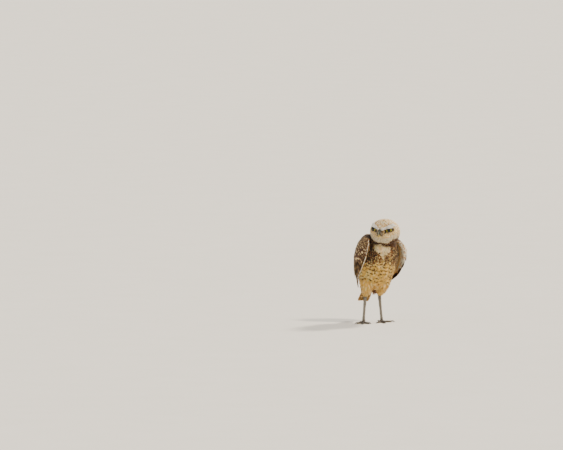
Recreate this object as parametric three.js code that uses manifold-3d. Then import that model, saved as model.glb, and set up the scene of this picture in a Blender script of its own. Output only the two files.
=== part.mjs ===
// Burrowing owl, life size, standing and looking over its right shoulder side.
// Millimetres, +Z up. The body faces -Y and the bird's left is +X.

import * as THREE from 'three';
import { mergeVertices } from 'three/addons/utils/BufferGeometryUtils.js';
import Module from 'manifold-3d';

const wasm = await Module();
wasm.setup();

// Driving dimensions.
const GAP = 0.3; // air left between two pieces that touch
const FLOOR = 0;

const POSE = {
  hips: [5, 0, 80], // the point that the body leans about
  lean: 6, // degrees, to the bird's left
  head: [17.6, -28, 198], // centre of the skull
  headYaw: -42, // degrees, towards the bird's right
  headPitch: 3, // degrees, bill down
  headRoll: 3, // degrees, left side lower
};

// Torso and neck, from the tail end to the crown of the neck, before the lean.
// Sizes are half width, back and front.
const BODY = {
  path: [
    [0, 52, 82], [0, 42, 87], [0, 28, 94], [0, 15, 106], [0, 4, 124],
    [0, -5, 143], [0, -12, 161], [0, -17, 175], [0, -20, 184], [0, -22, 190],
  ],
  sizes: [
    [10, 5, 6], [22, 13, 17], [32, 22, 27], [38, 30, 35], [42, 34, 39],
    [42.5, 36, 39], [40, 34, 36.5], [34, 29, 30], [25, 21, 21], [12, 10, 10],
  ],
  steps: 18,
  sides: 24,
  neckStart: 0.735, // share of the path where the neck begins
};

const HEAD = {
  halfWidth: 33.3,
  depthFront: 27.5,
  depthBack: 31,
  heightUp: 28.5,
  heightDown: 30,
  detail: 6,
  faceLevel: 5, // height of the eye line over the middle of the head
};

const EYE = {
  radius: 8.6,
  centre: [16.6, -15.4, 7.4],
  lid: 1.15, // how far the lid stands over the eyeball
  outward: 14, // degrees that the gaze turns outwards
  opening: [6.3, 3.5, 7], // half width, half height and half depth of the slit
  slant: 11, // degrees that the slit rises outwards
};

const BILL = {
  path: [[0, -20, 5.5], [0, -27, 5.6], [0, -31, 3.4], [0, -33.4, -1], [0, -33, -5.4], [0, -31.6, -8.6]],
  sizes: [
    [4.4, 3.6, 4.4], [4.3, 3.4, 4.2], [3.8, 2.9, 3.6], [2.9, 2.3, 2.7], [1.6, 1.5, 1.6], [0.45, 0.45, 0.45],
  ],
  lowerPath: [[0, -20, -3.4], [0, -26, -4], [0, -28.8, -5.4], [0, -30, -7]],
  lowerSizes: [[3.4, 1.8, 2.2], [3, 1.5, 2], [2.1, 1.1, 1.4], [0.8, 0.5, 0.5]],
  nostril: 0.8,
  nostrilAt: [3.5, -28.4, 6.2],
};

// The folded wing is one curved sheet between a front and a rear edge, before the lean.
const WING = {
  front: [
    [29, -16, 183], [38, -31, 176], [43, -36, 162], [45.5, -24, 134], [43, -4, 108], [31, 33, 86],
    [17, 63, 69],
  ],
  rear: [
    [16, 3, 187], [17, 17, 181], [18, 30, 169], [18, 45, 142], [16, 54, 113], [13, 61, 87],
    [12, 65, 70],
  ],
  // Along its length, how far the sheet stands out between its edges, and how far the front edge hangs
  // off the body. The rear edge moves by half of that.
  left: { bulge: [4, 8.5, 11.5, 11.5, 9.5, 5, 0.5], held: [0, 3, 6, 8, 7, 5, 3] },
  right: { bulge: [4, 14.5, 21.5, 23.5, 15.5, 5, 0.5], held: [0, -2, -6, -8, -5, -1, 0] },
  armDepth: 5.5, // thickness of the fleshy arm under the coverts
  armEnd: 0.58, // share of the wing's length where the arm has run out
  armTop: -1.2, // height of the arm's outer side over the sheet that the feathers' shafts follow
  vane: [0.65, 0.5], // thickness of a feather along its shaft and at its edges
  tilt: 0.13, // how much higher each feather's front edge lies, for each mm across
  column: 0.14, // share of the wing's width from one feather to the next
  // Tiers, from the shoulder down. from and to are shares of the wing's length, first is the share of its
  // width where the first feather lies, and rise is the height over the sheet at the root and at the tip.
  tiers: {
    lesserCoverts: { from: 0.07, to: 0.34, width: 14, rise: [-3.2, 2.1], first: 0.06, count: 7, slant: 0.02 },
    greaterCoverts: { from: 0.25, to: 0.57, width: 14.5, rise: [-3.2, 2.2], first: 0.11, count: 7, slant: 0 },
    secondaries: { from: 0.42, to: 0.8, width: 14.5, rise: [-3.2, 2.1], first: 0.31, count: 5, slant: -0.05 },
  },
  primaries: {
    count: 6, from: 0.4, to: [1, 0.84], root: [0.08, 0.55], tip: [0.3, 0.75], width: 11,
    rise: [-3.6, -2.4], step: 0.45, vane: [0.6, 0.5], tilt: 0.12,
  },
};

// A feather at shares of its length: its width, its thickness, and how far it has risen from its root.
const BLADE = [
  [0, 0.25, 1, 0], [0.12, 0.4, 1, 0.52], [0.4, 1, 1, 0.67],
  [0.68, 1, 1, 0.82], [0.9, 0.78, 0.9, 0.95], [1, 0.22, 0.6, 1],
];

const TAIL = {
  root: [0, 26, 98],
  tip: [0, 81, 41],
  rootHalf: 8,
  tipHalf: 13.5,
  arch: 1.6, // how far the middle stands over the edges
  pairs: 6,
  inner: 0.11, // where the shafts of the innermost and the outermost pair lie, as shares of half the width
  outer: 0.81,
  layer: 0.75, // how much lower each pair lies than the one inside it
  width: 6.8,
  tilt: 0.06, // how much lower each feather's outer edge lies, for each mm across
  vane: [0.6, 0.5], // thickness along the shaft and at the edges
  coverts: { count: 5, pitch: 0.2, to: 0.5, width: 7.5, top: 2.6 },
  // The root under the rump: share of the length, share of the width, and height over and under the sheet.
  core: [[0, 0.9, 1, 5.5], [0.15, 0.9, 0.6, 5.2], [0.28, 0.8, -0.6, 4.2], [0.36, 0.6, -1.6, 3.4]],
};

// The legs stand apart from the lean. Each has its own thigh, shank, heel and foot.
const LEGS = {
  right: {
    hip: [-18, 2, 97], heel: [-15, 8, 60], ankle: [-24, -6, 4],
    toes: [
      { turn: 178, length: 10 }, { turn: -16, length: 16 },
      { turn: 22, length: 19 }, { turn: 58, length: 16 },
    ],
  },
  left: {
    hip: [28, 1, 99], heel: [20, 18, 61], ankle: [22, 7, 4],
    toes: [
      { turn: 186, length: 10 }, { turn: -42, length: 16 },
      { turn: -4, length: 19 }, { turn: 90, length: 16 },
    ],
  },
};
const LEG = {
  thigh: [[16, 16.5, 17], [15, 15.5, 15.5], [11.3, 12, 12], [7.2, 7.8, 7.8], [4, 4.2, 4.2]],
  shank: [[3.4, 3.6, 3.6], [3.3, 3.6, 3.5], [2.7, 3, 2.9], [2.4, 2.6, 2.6], [2.6, 2.9, 2.8], [3.1, 3.3, 3.2]],
  thighBow: [[0.3, -4], [0.6, -4], [0.86, -1.5]], // share of its length, and how far it bows ahead there
  shankRings: [0.12, 0.35, 0.62, 0.85],
  palm: [4.9, 5.2, 3.4], // half width, half length and half height
  toe: [1.6, 1.75, 2.3, 1.85, 2.2, 1.75, 2, 1.45], // root, then knuckle pads along a toe
  knuckles: [0.28, 0.42, 0.58, 0.72, 0.87, 1], // where the pads and waists lie, as shares of the toe's reach
  toeHeight: 2, // height of a toe's middle over the floor
  claw: [1.55, 1.3, 0.95, 0.3],
  clawLength: 8.5,
};

const COLOURS = {
  crown: 0xa8875e, breast: 0xb79a6b, neck: 0x5b3b22, wing: 0x7a5a39, tail: 0x85643f,
  thigh: 0xcdb483, shank: 0xb6ab93, toe: 0x7d7466, claw: 0x2b2622, bill: 0x8f8a63, eye: 0xd8b52a,
};

// Geometry helpers.
const vec = (x, y, z) => new THREE.Vector3(x, y, z);
const LEFT = vec(1, 0, 0);
const UP = vec(0, 0, 1);
const rad = THREE.MathUtils.degToRad;
const lerp = THREE.MathUtils.lerp;
const smooth = THREE.MathUtils.smoothstep;
const bell = (x, width) => Math.exp(-(x * x) / (width * width));

const curve = (points) => new THREE.CatmullRomCurve3(points.map((p) => vec(...p)), false, 'catmullrom', 0.5);

function listCurve(values) {
  const line = curve(values.map((v, i) => [i, v, 0]));
  return (t) => line.getPoint(t).y;
}

function asGeometry(points, faces) {
  const flat = points.flatMap((p) => [p.x, p.y, p.z]);
  return new THREE.BufferGeometry()
    .setAttribute('position', new THREE.Float32BufferAttribute(flat, 3))
    .setIndex(faces);
}

// A closed skin over rings of equal length, with one point at each end.
// turned(i) says which strips are split along the other diagonal.
function skin(rings, first, last, turned = () => false) {
  const n = rings[0].length;
  const points = [first, ...rings.flat(), last];
  const end = points.length - 1;
  const faces = [];
  for (let i = 0; i < n; i++) {
    const j = (i + 1) % n;
    faces.push(0, 1 + j, 1 + i, end, end - n + i, end - n + j);
    for (let r = 0; r + 1 < rings.length; r++) {
      const a = 1 + r * n;
      const b = a + n;
      if (turned(i)) faces.push(a + i, a + j, b + i, a + j, b + j, b + i);
      else faces.push(a + i, a + j, b + j, a + i, b + j, b + i);
    }
  }
  return asGeometry(points, faces);
}

// A rounded limb along a path. Sizes are half width, back and front, and grow adds to them all.
function limb({ path, sizes, steps, sides, grow = 0, across = LEFT }) {
  const line = curve(path);
  const size = curve(sizes);
  const rings = [];
  const ends = [];
  for (let k = 0; k <= steps; k++) {
    const at = line.getPoint(k / steps);
    const along = line.getTangent(k / steps);
    const side = across.clone().addScaledVector(along, -across.dot(along)).normalize();
    const back = along.clone().cross(side);
    const s = size.getPoint(k / steps);
    rings.push(Array.from({ length: sides }, (_, i) => {
      const turn = (i / sides) * 2 * Math.PI;
      const depth = (Math.sin(turn) > 0 ? s.y : s.z) + grow;
      return at.clone()
        .addScaledVector(side, Math.cos(turn) * (s.x + grow))
        .addScaledVector(back, Math.sin(turn) * depth);
    }));
    if (k === 0) ends.push(at.clone().addScaledVector(along, -grow));
    if (k === steps) ends.push(at.clone().addScaledVector(along, grow));
  }
  return skin(rings, ends[0], ends[1]);
}

// Joining and cutting, on closed solids.
function solid(geometry, matrix = new THREE.Matrix4()) {
  const bare = geometry.clone().applyMatrix4(matrix);
  bare.deleteAttribute('normal');
  bare.deleteAttribute('uv');
  const merged = mergeVertices(bare, 1e-4);
  const triVerts = new Uint32Array(merged.index.array);
  if (matrix.determinant() < 0) {
    for (let i = 0; i < triVerts.length; i += 3) {
      [triVerts[i + 1], triVerts[i + 2]] = [triVerts[i + 2], triVerts[i + 1]];
    }
  }
  const vertProperties = merged.attributes.position.array;
  return new wasm.Manifold(new wasm.Mesh({ numProp: 3, vertProperties, triVerts }));
}

const joined = (solids) => solids.reduce((a, b) => a.add(b));
const cut = (a, ...others) => others.reduce((left, b) => left.subtract(b), a);

function largest(made) {
  return made.decompose().reduce((a, b) => (b.volume() > a.volume() ? b : a));
}

const owl = new THREE.Group();
owl.name = 'burrowing_owl';

function addPiece(name, made, colour, roughness = 0.85) {
  const kept = largest(made);
  const mesh = kept.getMesh();
  const points = new Float32Array(mesh.numVert * 3);
  for (let i = 0; i < mesh.numVert; i++) {
    points.set(mesh.vertProperties.subarray(i * mesh.numProp, i * mesh.numProp + 3), i * 3);
  }
  const geometry = new THREE.BufferGeometry()
    .setAttribute('position', new THREE.BufferAttribute(points, 3))
    .setIndex(new THREE.BufferAttribute(mesh.triVerts, 1));
  geometry.computeVertexNormals();
  geometry.computeBoundingBox();
  const middle = geometry.boundingBox.getCenter(vec(0, 0, 0));
  geometry.translate(-middle.x, -middle.y, -middle.z);
  const material = new THREE.MeshStandardMaterial({ color: colour, roughness, metalness: 0 });
  const piece = new THREE.Mesh(geometry, material);
  piece.name = name;
  piece.position.copy(middle);
  owl.add(piece);
}

// Frames of the body and the head.
function turnedAbout(point, rotation) {
  const [x, y, z] = point;
  return new THREE.Matrix4().makeTranslation(x, y, z)
    .multiply(rotation)
    .multiply(new THREE.Matrix4().makeTranslation(-x, -y, -z));
}

const bodyFrame = new THREE.Matrix4().makeTranslation(POSE.hips[0], 0, 0)
  .multiply(turnedAbout([0, POSE.hips[1], POSE.hips[2]], new THREE.Matrix4().makeRotationY(rad(POSE.lean))));

const headTurn = new THREE.Euler(rad(POSE.headPitch), rad(POSE.headRoll), rad(POSE.headYaw), 'ZXY');
const headFrame = new THREE.Matrix4().makeTranslation(...POSE.head)
  .multiply(new THREE.Matrix4().makeRotationFromEuler(headTurn));

// Torso and neck are one form, parted by a thin cut across the spine.
const bodySolid = (grow) => solid(limb({ ...BODY, grow }), bodyFrame);

function aboveNeckLine(offset) {
  const line = curve(BODY.path);
  const at = line.getPoint(BODY.neckStart);
  const along = line.getTangent(BODY.neckStart);
  const size = 200;
  const block = new THREE.BoxGeometry(size, size, size).translate(0, 0, size / 2 + offset);
  block.applyQuaternion(new THREE.Quaternion().setFromUnitVectors(UP, along));
  block.translate(at.x, at.y, at.z);
  return solid(block, bodyFrame);
}

// Head: an egg with brows, eye hollows, a bristly bridge, a disc rim and full cheeks.
function segmentDistance(x, z, [ax, az], [bx, bz]) {
  const [dx, dz] = [bx - ax, bz - az];
  const along = THREE.MathUtils.clamp(((x - ax) * dx + (z - az) * dz) / (dx * dx + dz * dz), 0, 1);
  return Math.hypot(x - ax - along * dx, z - az - along * dz);
}

function faceRelief(x, height) {
  const side = Math.abs(x);
  const z = height - HEAD.faceLevel;
  const hollow = -3.6 * bell(Math.hypot(side - 17.5, z - 1), 8.5);
  const brow = 3.6 * bell(segmentDistance(side, z, [3, 4], [27, 14.5]), 3.8);
  const bridge = 2.6 * bell(x, 5.5) * bell(z + 3, 9);
  const rim = 1.5 * bell((Math.hypot(x / 30, (z + 4) / 25) - 1) * 28, 3.4);
  const cheek = 1.8 * bell(Math.hypot(side - 13, z + 17), 10);
  return hollow + brow + bridge + rim + cheek;
}

function headShape(grow) {
  const ball = new THREE.IcosahedronGeometry(1, HEAD.detail);
  ball.deleteAttribute('normal');
  ball.deleteAttribute('uv');
  const egg = mergeVertices(ball, 1e-5);
  const at = egg.attributes.position;
  const dir = vec(0, 0, 0);
  for (let i = 0; i < at.count; i++) {
    dir.fromBufferAttribute(at, i).normalize();
    const x = dir.x * HEAD.halfWidth;
    const y = dir.y * (dir.y < 0 ? HEAD.depthFront : HEAD.depthBack);
    const z = dir.z * (dir.z > 0 ? HEAD.heightUp : HEAD.heightDown);
    const raised = grow + faceRelief(x, z) * smooth(-dir.y, 0.1, 0.55);
    at.setXYZ(i, x + dir.x * raised, y + dir.y * raised, z + dir.z * raised);
  }
  return egg;
}

function eyePlace(side) {
  const [x, y, z] = EYE.centre;
  const turn = new THREE.Euler(0, rad(-EYE.slant * side), rad(EYE.outward * side), 'ZXY');
  return headFrame.clone()
    .multiply(new THREE.Matrix4().makeTranslation(x * side, y, z))
    .multiply(new THREE.Matrix4().makeRotationFromEuler(turn));
}

const ball = (radius, detail = 3) => new THREE.IcosahedronGeometry(radius, detail);

function slit() {
  const [width, height, depth] = EYE.opening;
  return ball(1, 3).scale(width, depth, height).translate(0, -EYE.radius, -0.4);
}

const sides = [['left', 1], ['right', -1]];

const headGrown = solid(headShape(GAP), headFrame);
const lids = sides.map(([, side]) => solid(ball(EYE.radius + EYE.lid), eyePlace(side)));
const slits = sides.map(([, side]) => solid(slit(), eyePlace(side)));
const sockets = sides.map(([, side]) => solid(ball(EYE.radius + GAP), eyePlace(side)));

const upperBill = (grow) => limb({ path: BILL.path, sizes: BILL.sizes, steps: 10, sides: 12, grow });
const lowerBill = (grow) => limb({
  path: BILL.lowerPath, sizes: BILL.lowerSizes, steps: 5, sides: 10, grow,
});

const skull = joined([solid(headShape(0), headFrame), ...lids]);
const head = cut(
  skull, ...slits, ...sockets,
  solid(upperBill(GAP), headFrame), solid(lowerBill(GAP), headFrame),
);
addPiece('head', head, COLOURS.crown);

for (const [name, side] of sides) {
  addPiece(`eye_${name}`, solid(ball(EYE.radius), eyePlace(side)), COLOURS.eye, 0.1);
}

const nostrils = sides.map(([, side]) => {
  const [x, y, z] = BILL.nostrilAt;
  return solid(ball(BILL.nostril, 1).translate(x * side, y, z), headFrame);
});
addPiece('bill_upper', cut(solid(upperBill(0), headFrame), ...nostrils), COLOURS.bill, 0.45);
const underBill = cut(solid(lowerBill(0), headFrame), solid(upperBill(GAP), headFrame));
addPiece('bill_lower', underBill, COLOURS.bill, 0.45);

// The torso keeps clear of the head, and the neck fills what is between them.
const wholeBody = bodySolid(0);
addPiece('torso', cut(wholeBody, aboveNeckLine(-GAP / 2), headGrown), COLOURS.breast);
const neck = cut(wholeBody.intersect(aboveNeckLine(GAP / 2)), headGrown);
addPiece('neck', neck, COLOURS.neck);

// A curved sheet that feathers lie on. s runs towards the tips and t from the front edge to the rear.
function sheetOf(front, rear, bulge) {
  const [a, b] = [curve(front), curve(rear)];
  const rise = listCurve(bulge);
  const point = (s, t) => {
    const at = THREE.MathUtils.clamp(s, 0, 1);
    const [p, q] = [a.getPoint(at), b.getPoint(at)];
    const along = a.getTangent(at).add(b.getTangent(at));
    const out = along.cross(q.clone().sub(p)).normalize();
    return p.lerp(q, t).addScaledVector(out, rise(at) * 4 * t * (1 - t));
  };
  const step = 1e-3;
  const slopes = (s, t) => {
    const here = THREE.MathUtils.clamp(s, step, 1 - step);
    return [
      point(here + step, t).sub(point(here - step, t)).divideScalar(2 * step),
      point(here, t + step).sub(point(here, t - step)).divideScalar(2 * step),
    ];
  };
  const normal = (s, t) => {
    const [ds, dt] = slopes(s, t);
    return ds.cross(dt).normalize();
  };
  // The change in s and t that moves a point by the given vector, along the sheet.
  const shift = (s, t, move) => {
    const [ds, dt] = slopes(s, t);
    const [ss, st, tt] = [ds.dot(ds), ds.dot(dt), dt.dot(dt)];
    const [ms, mt] = [ds.dot(move), dt.dot(move)];
    const det = ss * tt - st * st;
    return [(tt * ms - st * mt) / det, (ss * mt - st * ms) / det];
  };
  return { point, slopes, normal, shift };
}

// One feather on a sheet: a thin blade with six-sided rings, thickest along its shaft.
// from and to are places on the sheet, and rise gives its height over the sheet at root and tip.
function vane(sheet, { from, to, width, thick, rise, tilt }) {
  const [dsAll, dtAll] = [to[0] - from[0], to[1] - from[1]];
  const rings = BLADE.map(([q, wide, stout, risen]) => {
    const [s, t] = [lerp(from[0], to[0], q), lerp(from[1], to[1], q)];
    const [ds, dt] = sheet.slopes(s, t);
    const along = ds.multiplyScalar(dsAll).addScaledVector(dt, dtAll).normalize();
    const across = sheet.normal(s, t).cross(along).normalize();
    const height = lerp(rise[0], rise[1], risen);
    const place = (offset, half, raised) => {
      const [moveS, moveT] = sheet.shift(s, t, across.clone().multiplyScalar(offset));
      const up = height - tilt * offset + raised * half * stout;
      return sheet.point(s + moveS, t + moveT).addScaledVector(sheet.normal(s + moveS, t + moveT), up);
    };
    const edge = (width * wide) / 2;
    const [shaft, rim] = [thick[0] / 2, thick[1] / 2];
    return [
      place(edge, rim, 1), place(0, shaft, 1), place(-edge, rim, 1),
      place(-edge, rim, -1), place(0, shaft, -1), place(edge, rim, -1),
    ];
  });
  const middle = (ring) => ring[1].clone().add(ring[4]).divideScalar(2);
  return skin(rings, middle(rings[0]), middle(rings.at(-1)), (i) => i === 3 || i === 4);
}

function mirrored(side) {
  return new THREE.Matrix4().makeScale(side, 1, 1);
}

// A number from 0 to 1 that is always the same for the same feather.
function draw(...keys) {
  const wave = Math.sin(keys.reduce((sum, k, i) => sum + k * (12.9898 + 65.1 * i), 1.7)) * 43758.5453;
  return wave - Math.floor(wave);
}

function wingSheet({ bulge, held }) {
  const moved = (path, share) => path.map(([x, y, z], i) => [x + held[i] * share, y, z]);
  return sheetOf(moved(WING.front, 1), moved(WING.rear, 0.5), bulge);
}

const centreOf = (ring) => ring.reduce((sum, p) => sum.clone().add(p)).divideScalar(ring.length);

// The fleshy arm, a smooth slab under the sheet that every feather of the wing is rooted in.
function wingArm(sheet) {
  const steps = 6;
  const across = 5;
  const over = (s, t, height) => sheet.point(s, t).addScaledVector(sheet.normal(s, t), height);
  const rings = [];
  for (let k = 0; k <= steps; k++) {
    const s = (k / steps) * WING.armEnd;
    const width = 1 - 0.4 * smooth(k, steps - 2, steps);
    const row = Array.from({ length: across + 1 }, (_, i) => lerp(0.5, i / across, width));
    const depth = (t) => WING.armDepth * bell(t - 0.35, 0.5) * (1 - smooth(s, 0.2, 0.8));
    const fullness = (i) => Math.sin((i / across) * Math.PI) ** 0.5;
    rings.push([
      ...row.toReversed().map((t) => over(s, t, WING.armTop)),
      ...row.map((t, i) => over(s, t, WING.armTop - 1.2 - depth(t) * fullness(i))),
    ]);
  }
  return skin(rings, centreOf(rings[0]), centreOf(rings.at(-1)));
}

function wingFeathers(sheet) {
  const made = [];
  Object.values(WING.tiers).forEach(({ from, to, width, rise, first, count, slant }, tier) => {
    for (let i = 0; i < count; i++) {
      const t = first + i * WING.column;
      const end = to + slant * t + 0.012 * (draw(tier, i) - 0.5);
      made.push(vane(sheet, {
        width, rise, thick: WING.vane, tilt: WING.tilt,
        from: [from, t], to: [end, t + 0.02 * (draw(i, tier) - 0.5)],
      }));
    }
  });
  const { count, from, to, root, tip, width, rise, step, vane: thick, tilt } = WING.primaries;
  for (let i = 0; i < count; i++) {
    const share = i / (count - 1);
    made.push(vane(sheet, {
      width, thick, tilt,
      rise: [rise[0], rise[1] + step * i],
      from: [from, lerp(root[0], root[1], share)],
      to: [lerp(to[0], to[1], share), lerp(tip[0], tip[1], share)],
    }));
  }
  return made;
}

// Thighs, which the wings keep clear of.
const between = (a, b, share, bow = 0) => {
  const p = vec(...a).lerp(vec(...b), share);
  p.y += bow;
  return p.toArray();
};

function thighShape({ hip, heel }, grow = 0) {
  const path = [hip, ...LEG.thighBow.map(([share, bow]) => between(hip, heel, share, bow)), heel];
  return limb({ path, sizes: LEG.thigh, steps: 8, sides: 14, grow });
}

const bodyGrown = bodySolid(GAP);
for (const [name, side] of sides) {
  const frame = bodyFrame.clone().multiply(mirrored(side));
  const sheet = wingSheet(WING[name]);
  const pieces = [wingArm(sheet), ...wingFeathers(sheet)].map((piece) => solid(piece, frame));
  const clear = [bodyGrown, headGrown, solid(thighShape(LEGS[name], GAP))];
  addPiece(`wing_${name}`, cut(joined(pieces), ...clear), COLOURS.wing);
}

// Tail: a short core under the rump, six pairs of long feathers and a row of coverts over their roots.
function tailSheet() {
  const at = (share, side) => {
    const p = vec(...TAIL.root).lerp(vec(...TAIL.tip), share);
    p.x = side * lerp(TAIL.rootHalf, TAIL.tipHalf, share);
    return p.toArray();
  };
  const shares = [0, 0.25, 0.5, 0.75, 1];
  const bulge = shares.map((share) => TAIL.arch * (0.4 + 0.6 * share));
  return sheetOf(shares.map((q) => at(q, 1)), shares.map((q) => at(q, -1)), bulge);
}

function tailCore(sheet) {
  const across = 4;
  const rings = TAIL.core.map(([s, width, top, under]) => {
    const row = Array.from({ length: across + 1 }, (_, i) => lerp(0.5, i / across, width));
    const over = (t, height) => sheet.point(s, t).addScaledVector(sheet.normal(s, t), height);
    return [...row.toReversed().map((t) => over(t, top)), ...row.map((t) => over(t, -under))];
  });
  return skin(rings, centreOf(rings[0]), centreOf(rings.at(-1)));
}

function tailFeathers(sheet) {
  const made = [];
  const { pairs, inner, outer, layer, width, tilt, vane: thick, coverts } = TAIL;
  for (let pair = 0; pair < pairs; pair++) {
    const out = (pair / (pairs - 1)) ** 0.7;
    for (const side of [-1, 1]) {
      const t = 0.5 + (side * lerp(inner, outer, out)) / 2;
      const depth = layer * (pair + (pair > 0 || side > 0 ? 1 : 0));
      made.push(vane(sheet, {
        from: [0.1, t], to: [1 - 0.06 * out ** 2, t],
        width, thick, rise: [-1 - depth * 0.5, -depth], tilt: side * tilt,
      }));
    }
  }
  const middle = (coverts.count - 1) / 2;
  for (let i = 0; i < coverts.count; i++) {
    const off = i - middle;
    const t = 0.5 + off * coverts.pitch;
    made.push(vane(sheet, {
      from: [0.03, t], to: [coverts.to - 0.03 * Math.abs(off), t], width: coverts.width, thick,
      rise: [0, coverts.top - layer * Math.abs(off)], tilt: Math.sign(off) * tilt,
    }));
  }
  return made;
}

const tail = tailSheet();
const tailPieces = [tailCore(tail), ...tailFeathers(tail)].map((piece) => solid(piece, bodyFrame));
addPiece('tail', cut(joined(tailPieces), bodyGrown), COLOURS.tail);

// Legs, from the knee feathers to the claws.
const aboveFloor = solid(new THREE.BoxGeometry(400, 400, 400).translate(0, 0, 200 + FLOOR));

function shankShape({ heel, ankle }, grow = 0) {
  const path = [heel, ...LEG.shankRings.map((share) => between(heel, ankle, share)), ankle];
  return limb({ path, sizes: LEG.shank, steps: 8, sides: 10, grow });
}

// A toe points away from the ankle. turn is 0 ahead and grows towards the outer side.
function toeParts({ ankle }, { turn, length }, side) {
  const [x, y] = ankle;
  const out = vec(Math.sin(rad(turn)) * side, -Math.cos(rad(turn)), 0);
  const across = out.clone().cross(UP);
  const at = (reach, height) => [x + out.x * reach, y + out.y * reach, height];
  const pads = LEG.toe.map((r) => [r, r, r]);
  const end = LEG.palm[1] + length;
  const knuckles = LEG.knuckles.map((share) => at(end * share, LEG.toeHeight));
  const toePath = [at(0, 3.2), at(LEG.palm[1] * 0.7, 2.8), ...knuckles];
  const clawPath = [
    at(end - 1.5, LEG.toeHeight + 0.2), at(end + LEG.clawLength * 0.3, LEG.toeHeight + 1),
    at(end + LEG.clawLength * 0.7, LEG.toeHeight + 0.1), at(end + LEG.clawLength, 0.5),
  ];
  const claw = LEG.claw.map((r) => [r * 0.8, r, r]);
  return {
    toe: (grow) => limb({ path: toePath, sizes: pads, steps: 9, sides: 8, grow, across }),
    claw: (grow) => limb({ path: clawPath, sizes: claw, steps: 5, sides: 7, grow, across }),
  };
}

function palmShape([x, y], grow = 0) {
  const [width, length, height] = LEG.palm.map((r) => r + grow);
  return ball(1, 2).scale(width, length, height).translate(x, y, LEG.palm[2] * 0.85);
}

for (const [name, side] of sides) {
  const leg = LEGS[name];
  const palmGrown = solid(palmShape(leg.ankle, GAP));
  addPiece(`thigh_${name}`, cut(solid(thighShape(leg)), bodyGrown), COLOURS.thigh);
  const shank = cut(solid(shankShape(leg)), palmGrown, solid(thighShape(leg, GAP)));
  addPiece(`shank_${name}`, shank, COLOURS.shank);
  addPiece(`foot_${name}`, solid(palmShape(leg.ankle)).intersect(aboveFloor), COLOURS.toe);
  const earlier = [palmGrown];
  leg.toes.forEach((toe, i) => {
    const parts = toeParts(leg, toe, side);
    const bare = solid(parts.toe(0)).intersect(aboveFloor);
    addPiece(`toe_${name}_${i + 1}`, cut(bare, ...earlier, solid(parts.claw(GAP))), COLOURS.toe);
    earlier.push(solid(parts.toe(GAP)));
    addPiece(`claw_${name}_${i + 1}`, solid(parts.claw(0)).intersect(aboveFloor), COLOURS.claw, 0.35);
  });
}

// The origin is the middle of the footprint of the whole bird, on the floor.
const box = new THREE.Box3().setFromObject(owl);
const centre = box.getCenter(vec(0, 0, 0));
owl.position.set(-centre.x, -centre.y, -box.min.z);

export default owl;
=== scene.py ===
"""Burrowing owl, a still life-size model: skin, feathers, eyes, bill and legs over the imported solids.

Sizes are millimetres, degrees and shares of a length. Meshes are made in metres, in the frame of the solids.
"""

import math

import bmesh
import bpy
import numpy as np
from mathutils import Matrix, Vector
from mathutils.bvhtree import BVHTree


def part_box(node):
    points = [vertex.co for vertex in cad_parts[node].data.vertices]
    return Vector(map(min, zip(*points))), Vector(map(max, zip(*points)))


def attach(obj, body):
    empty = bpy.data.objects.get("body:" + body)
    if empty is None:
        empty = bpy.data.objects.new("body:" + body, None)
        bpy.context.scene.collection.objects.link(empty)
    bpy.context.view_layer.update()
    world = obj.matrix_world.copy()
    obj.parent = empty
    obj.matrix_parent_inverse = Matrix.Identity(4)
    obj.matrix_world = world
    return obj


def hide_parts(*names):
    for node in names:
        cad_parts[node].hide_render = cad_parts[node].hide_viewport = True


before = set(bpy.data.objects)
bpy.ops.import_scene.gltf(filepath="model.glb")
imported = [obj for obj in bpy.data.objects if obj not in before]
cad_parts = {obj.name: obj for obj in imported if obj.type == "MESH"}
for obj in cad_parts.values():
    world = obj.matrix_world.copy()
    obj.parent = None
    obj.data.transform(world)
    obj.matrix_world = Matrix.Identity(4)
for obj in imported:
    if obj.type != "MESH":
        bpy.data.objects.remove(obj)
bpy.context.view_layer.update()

# Units, the photo's frame, the stage and its lamps.
MM = 0.001
PHOTO = (563, 450)
MM_PER_PIXEL = 2.15
FEET_PIXEL = (372.6, 323)  # the middle of the two feet in the photo
CAMERA = {"azimuth": -18, "elevation": 4, "distance": 20000, "sensor": 36, "sees": 200000}
FLOOR_RADIUS = 70000
ROOM = {"colour": 0xEDF0F4, "strength": 0.62}
LAMPS = (  # azimuth, elevation, strength, width and colour
    ("key", 38, 48, 3.5, 9, 0xFFF1DC),
    ("rim", 118, 42, 4.4, 9, 0xFFF4E2),
    ("fill", -70, 30, 0.5, 60, 0xE8EEF8),
)

# The pose and the main sizes, as the solids have them.
POSE = {"hips": (5, 0, 80), "lean": 6, "head": (17.6, -28, 198), "yaw": -42, "pitch": 3, "roll": 3}
SPINE = [
    (0, 52, 82), (0, 42, 87), (0, 28, 94), (0, 15, 106), (0, 4, 124),
    (0, -5, 143), (0, -12, 161), (0, -17, 175), (0, -20, 184), (0, -22, 190),
]
SKULL = {"side": 33.3, "front": 27.5, "back": 31, "up": 28.5, "down": 30, "face": 5}
EYE = {"radius": 8.6, "centre": (16.6, -15.4, 7.4), "outward": 14, "slant": 11, "iris": 6.0, "pupil": 3.4}
LID = {"half": 7.6, "up": 2.2, "down": 3.0, "drop": -0.2}
HIP = {"left": ((28, 1, 99), (20, 18, 61)), "right": ((-18, 2, 97), (-15, 8, 60))}
SIDES = {"left": 1, "right": -1}
SEED = 1965


# Small tools.
def linear(value):
    """An sRGB hex colour as linear red, green, blue and alpha."""
    parts = [(value >> move & 255) / 255 for move in (16, 8, 0)]
    return np.array([c / 12.92 if c <= 0.04045 else ((c + 0.055) / 1.055) ** 2.4 for c in parts] + [1.0])


def opaque(rgb):
    return np.hstack([rgb, np.ones((len(rgb), 1))])


def turned(axis, degrees):
    return Matrix.Rotation(math.radians(degrees), 4, axis)


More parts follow.
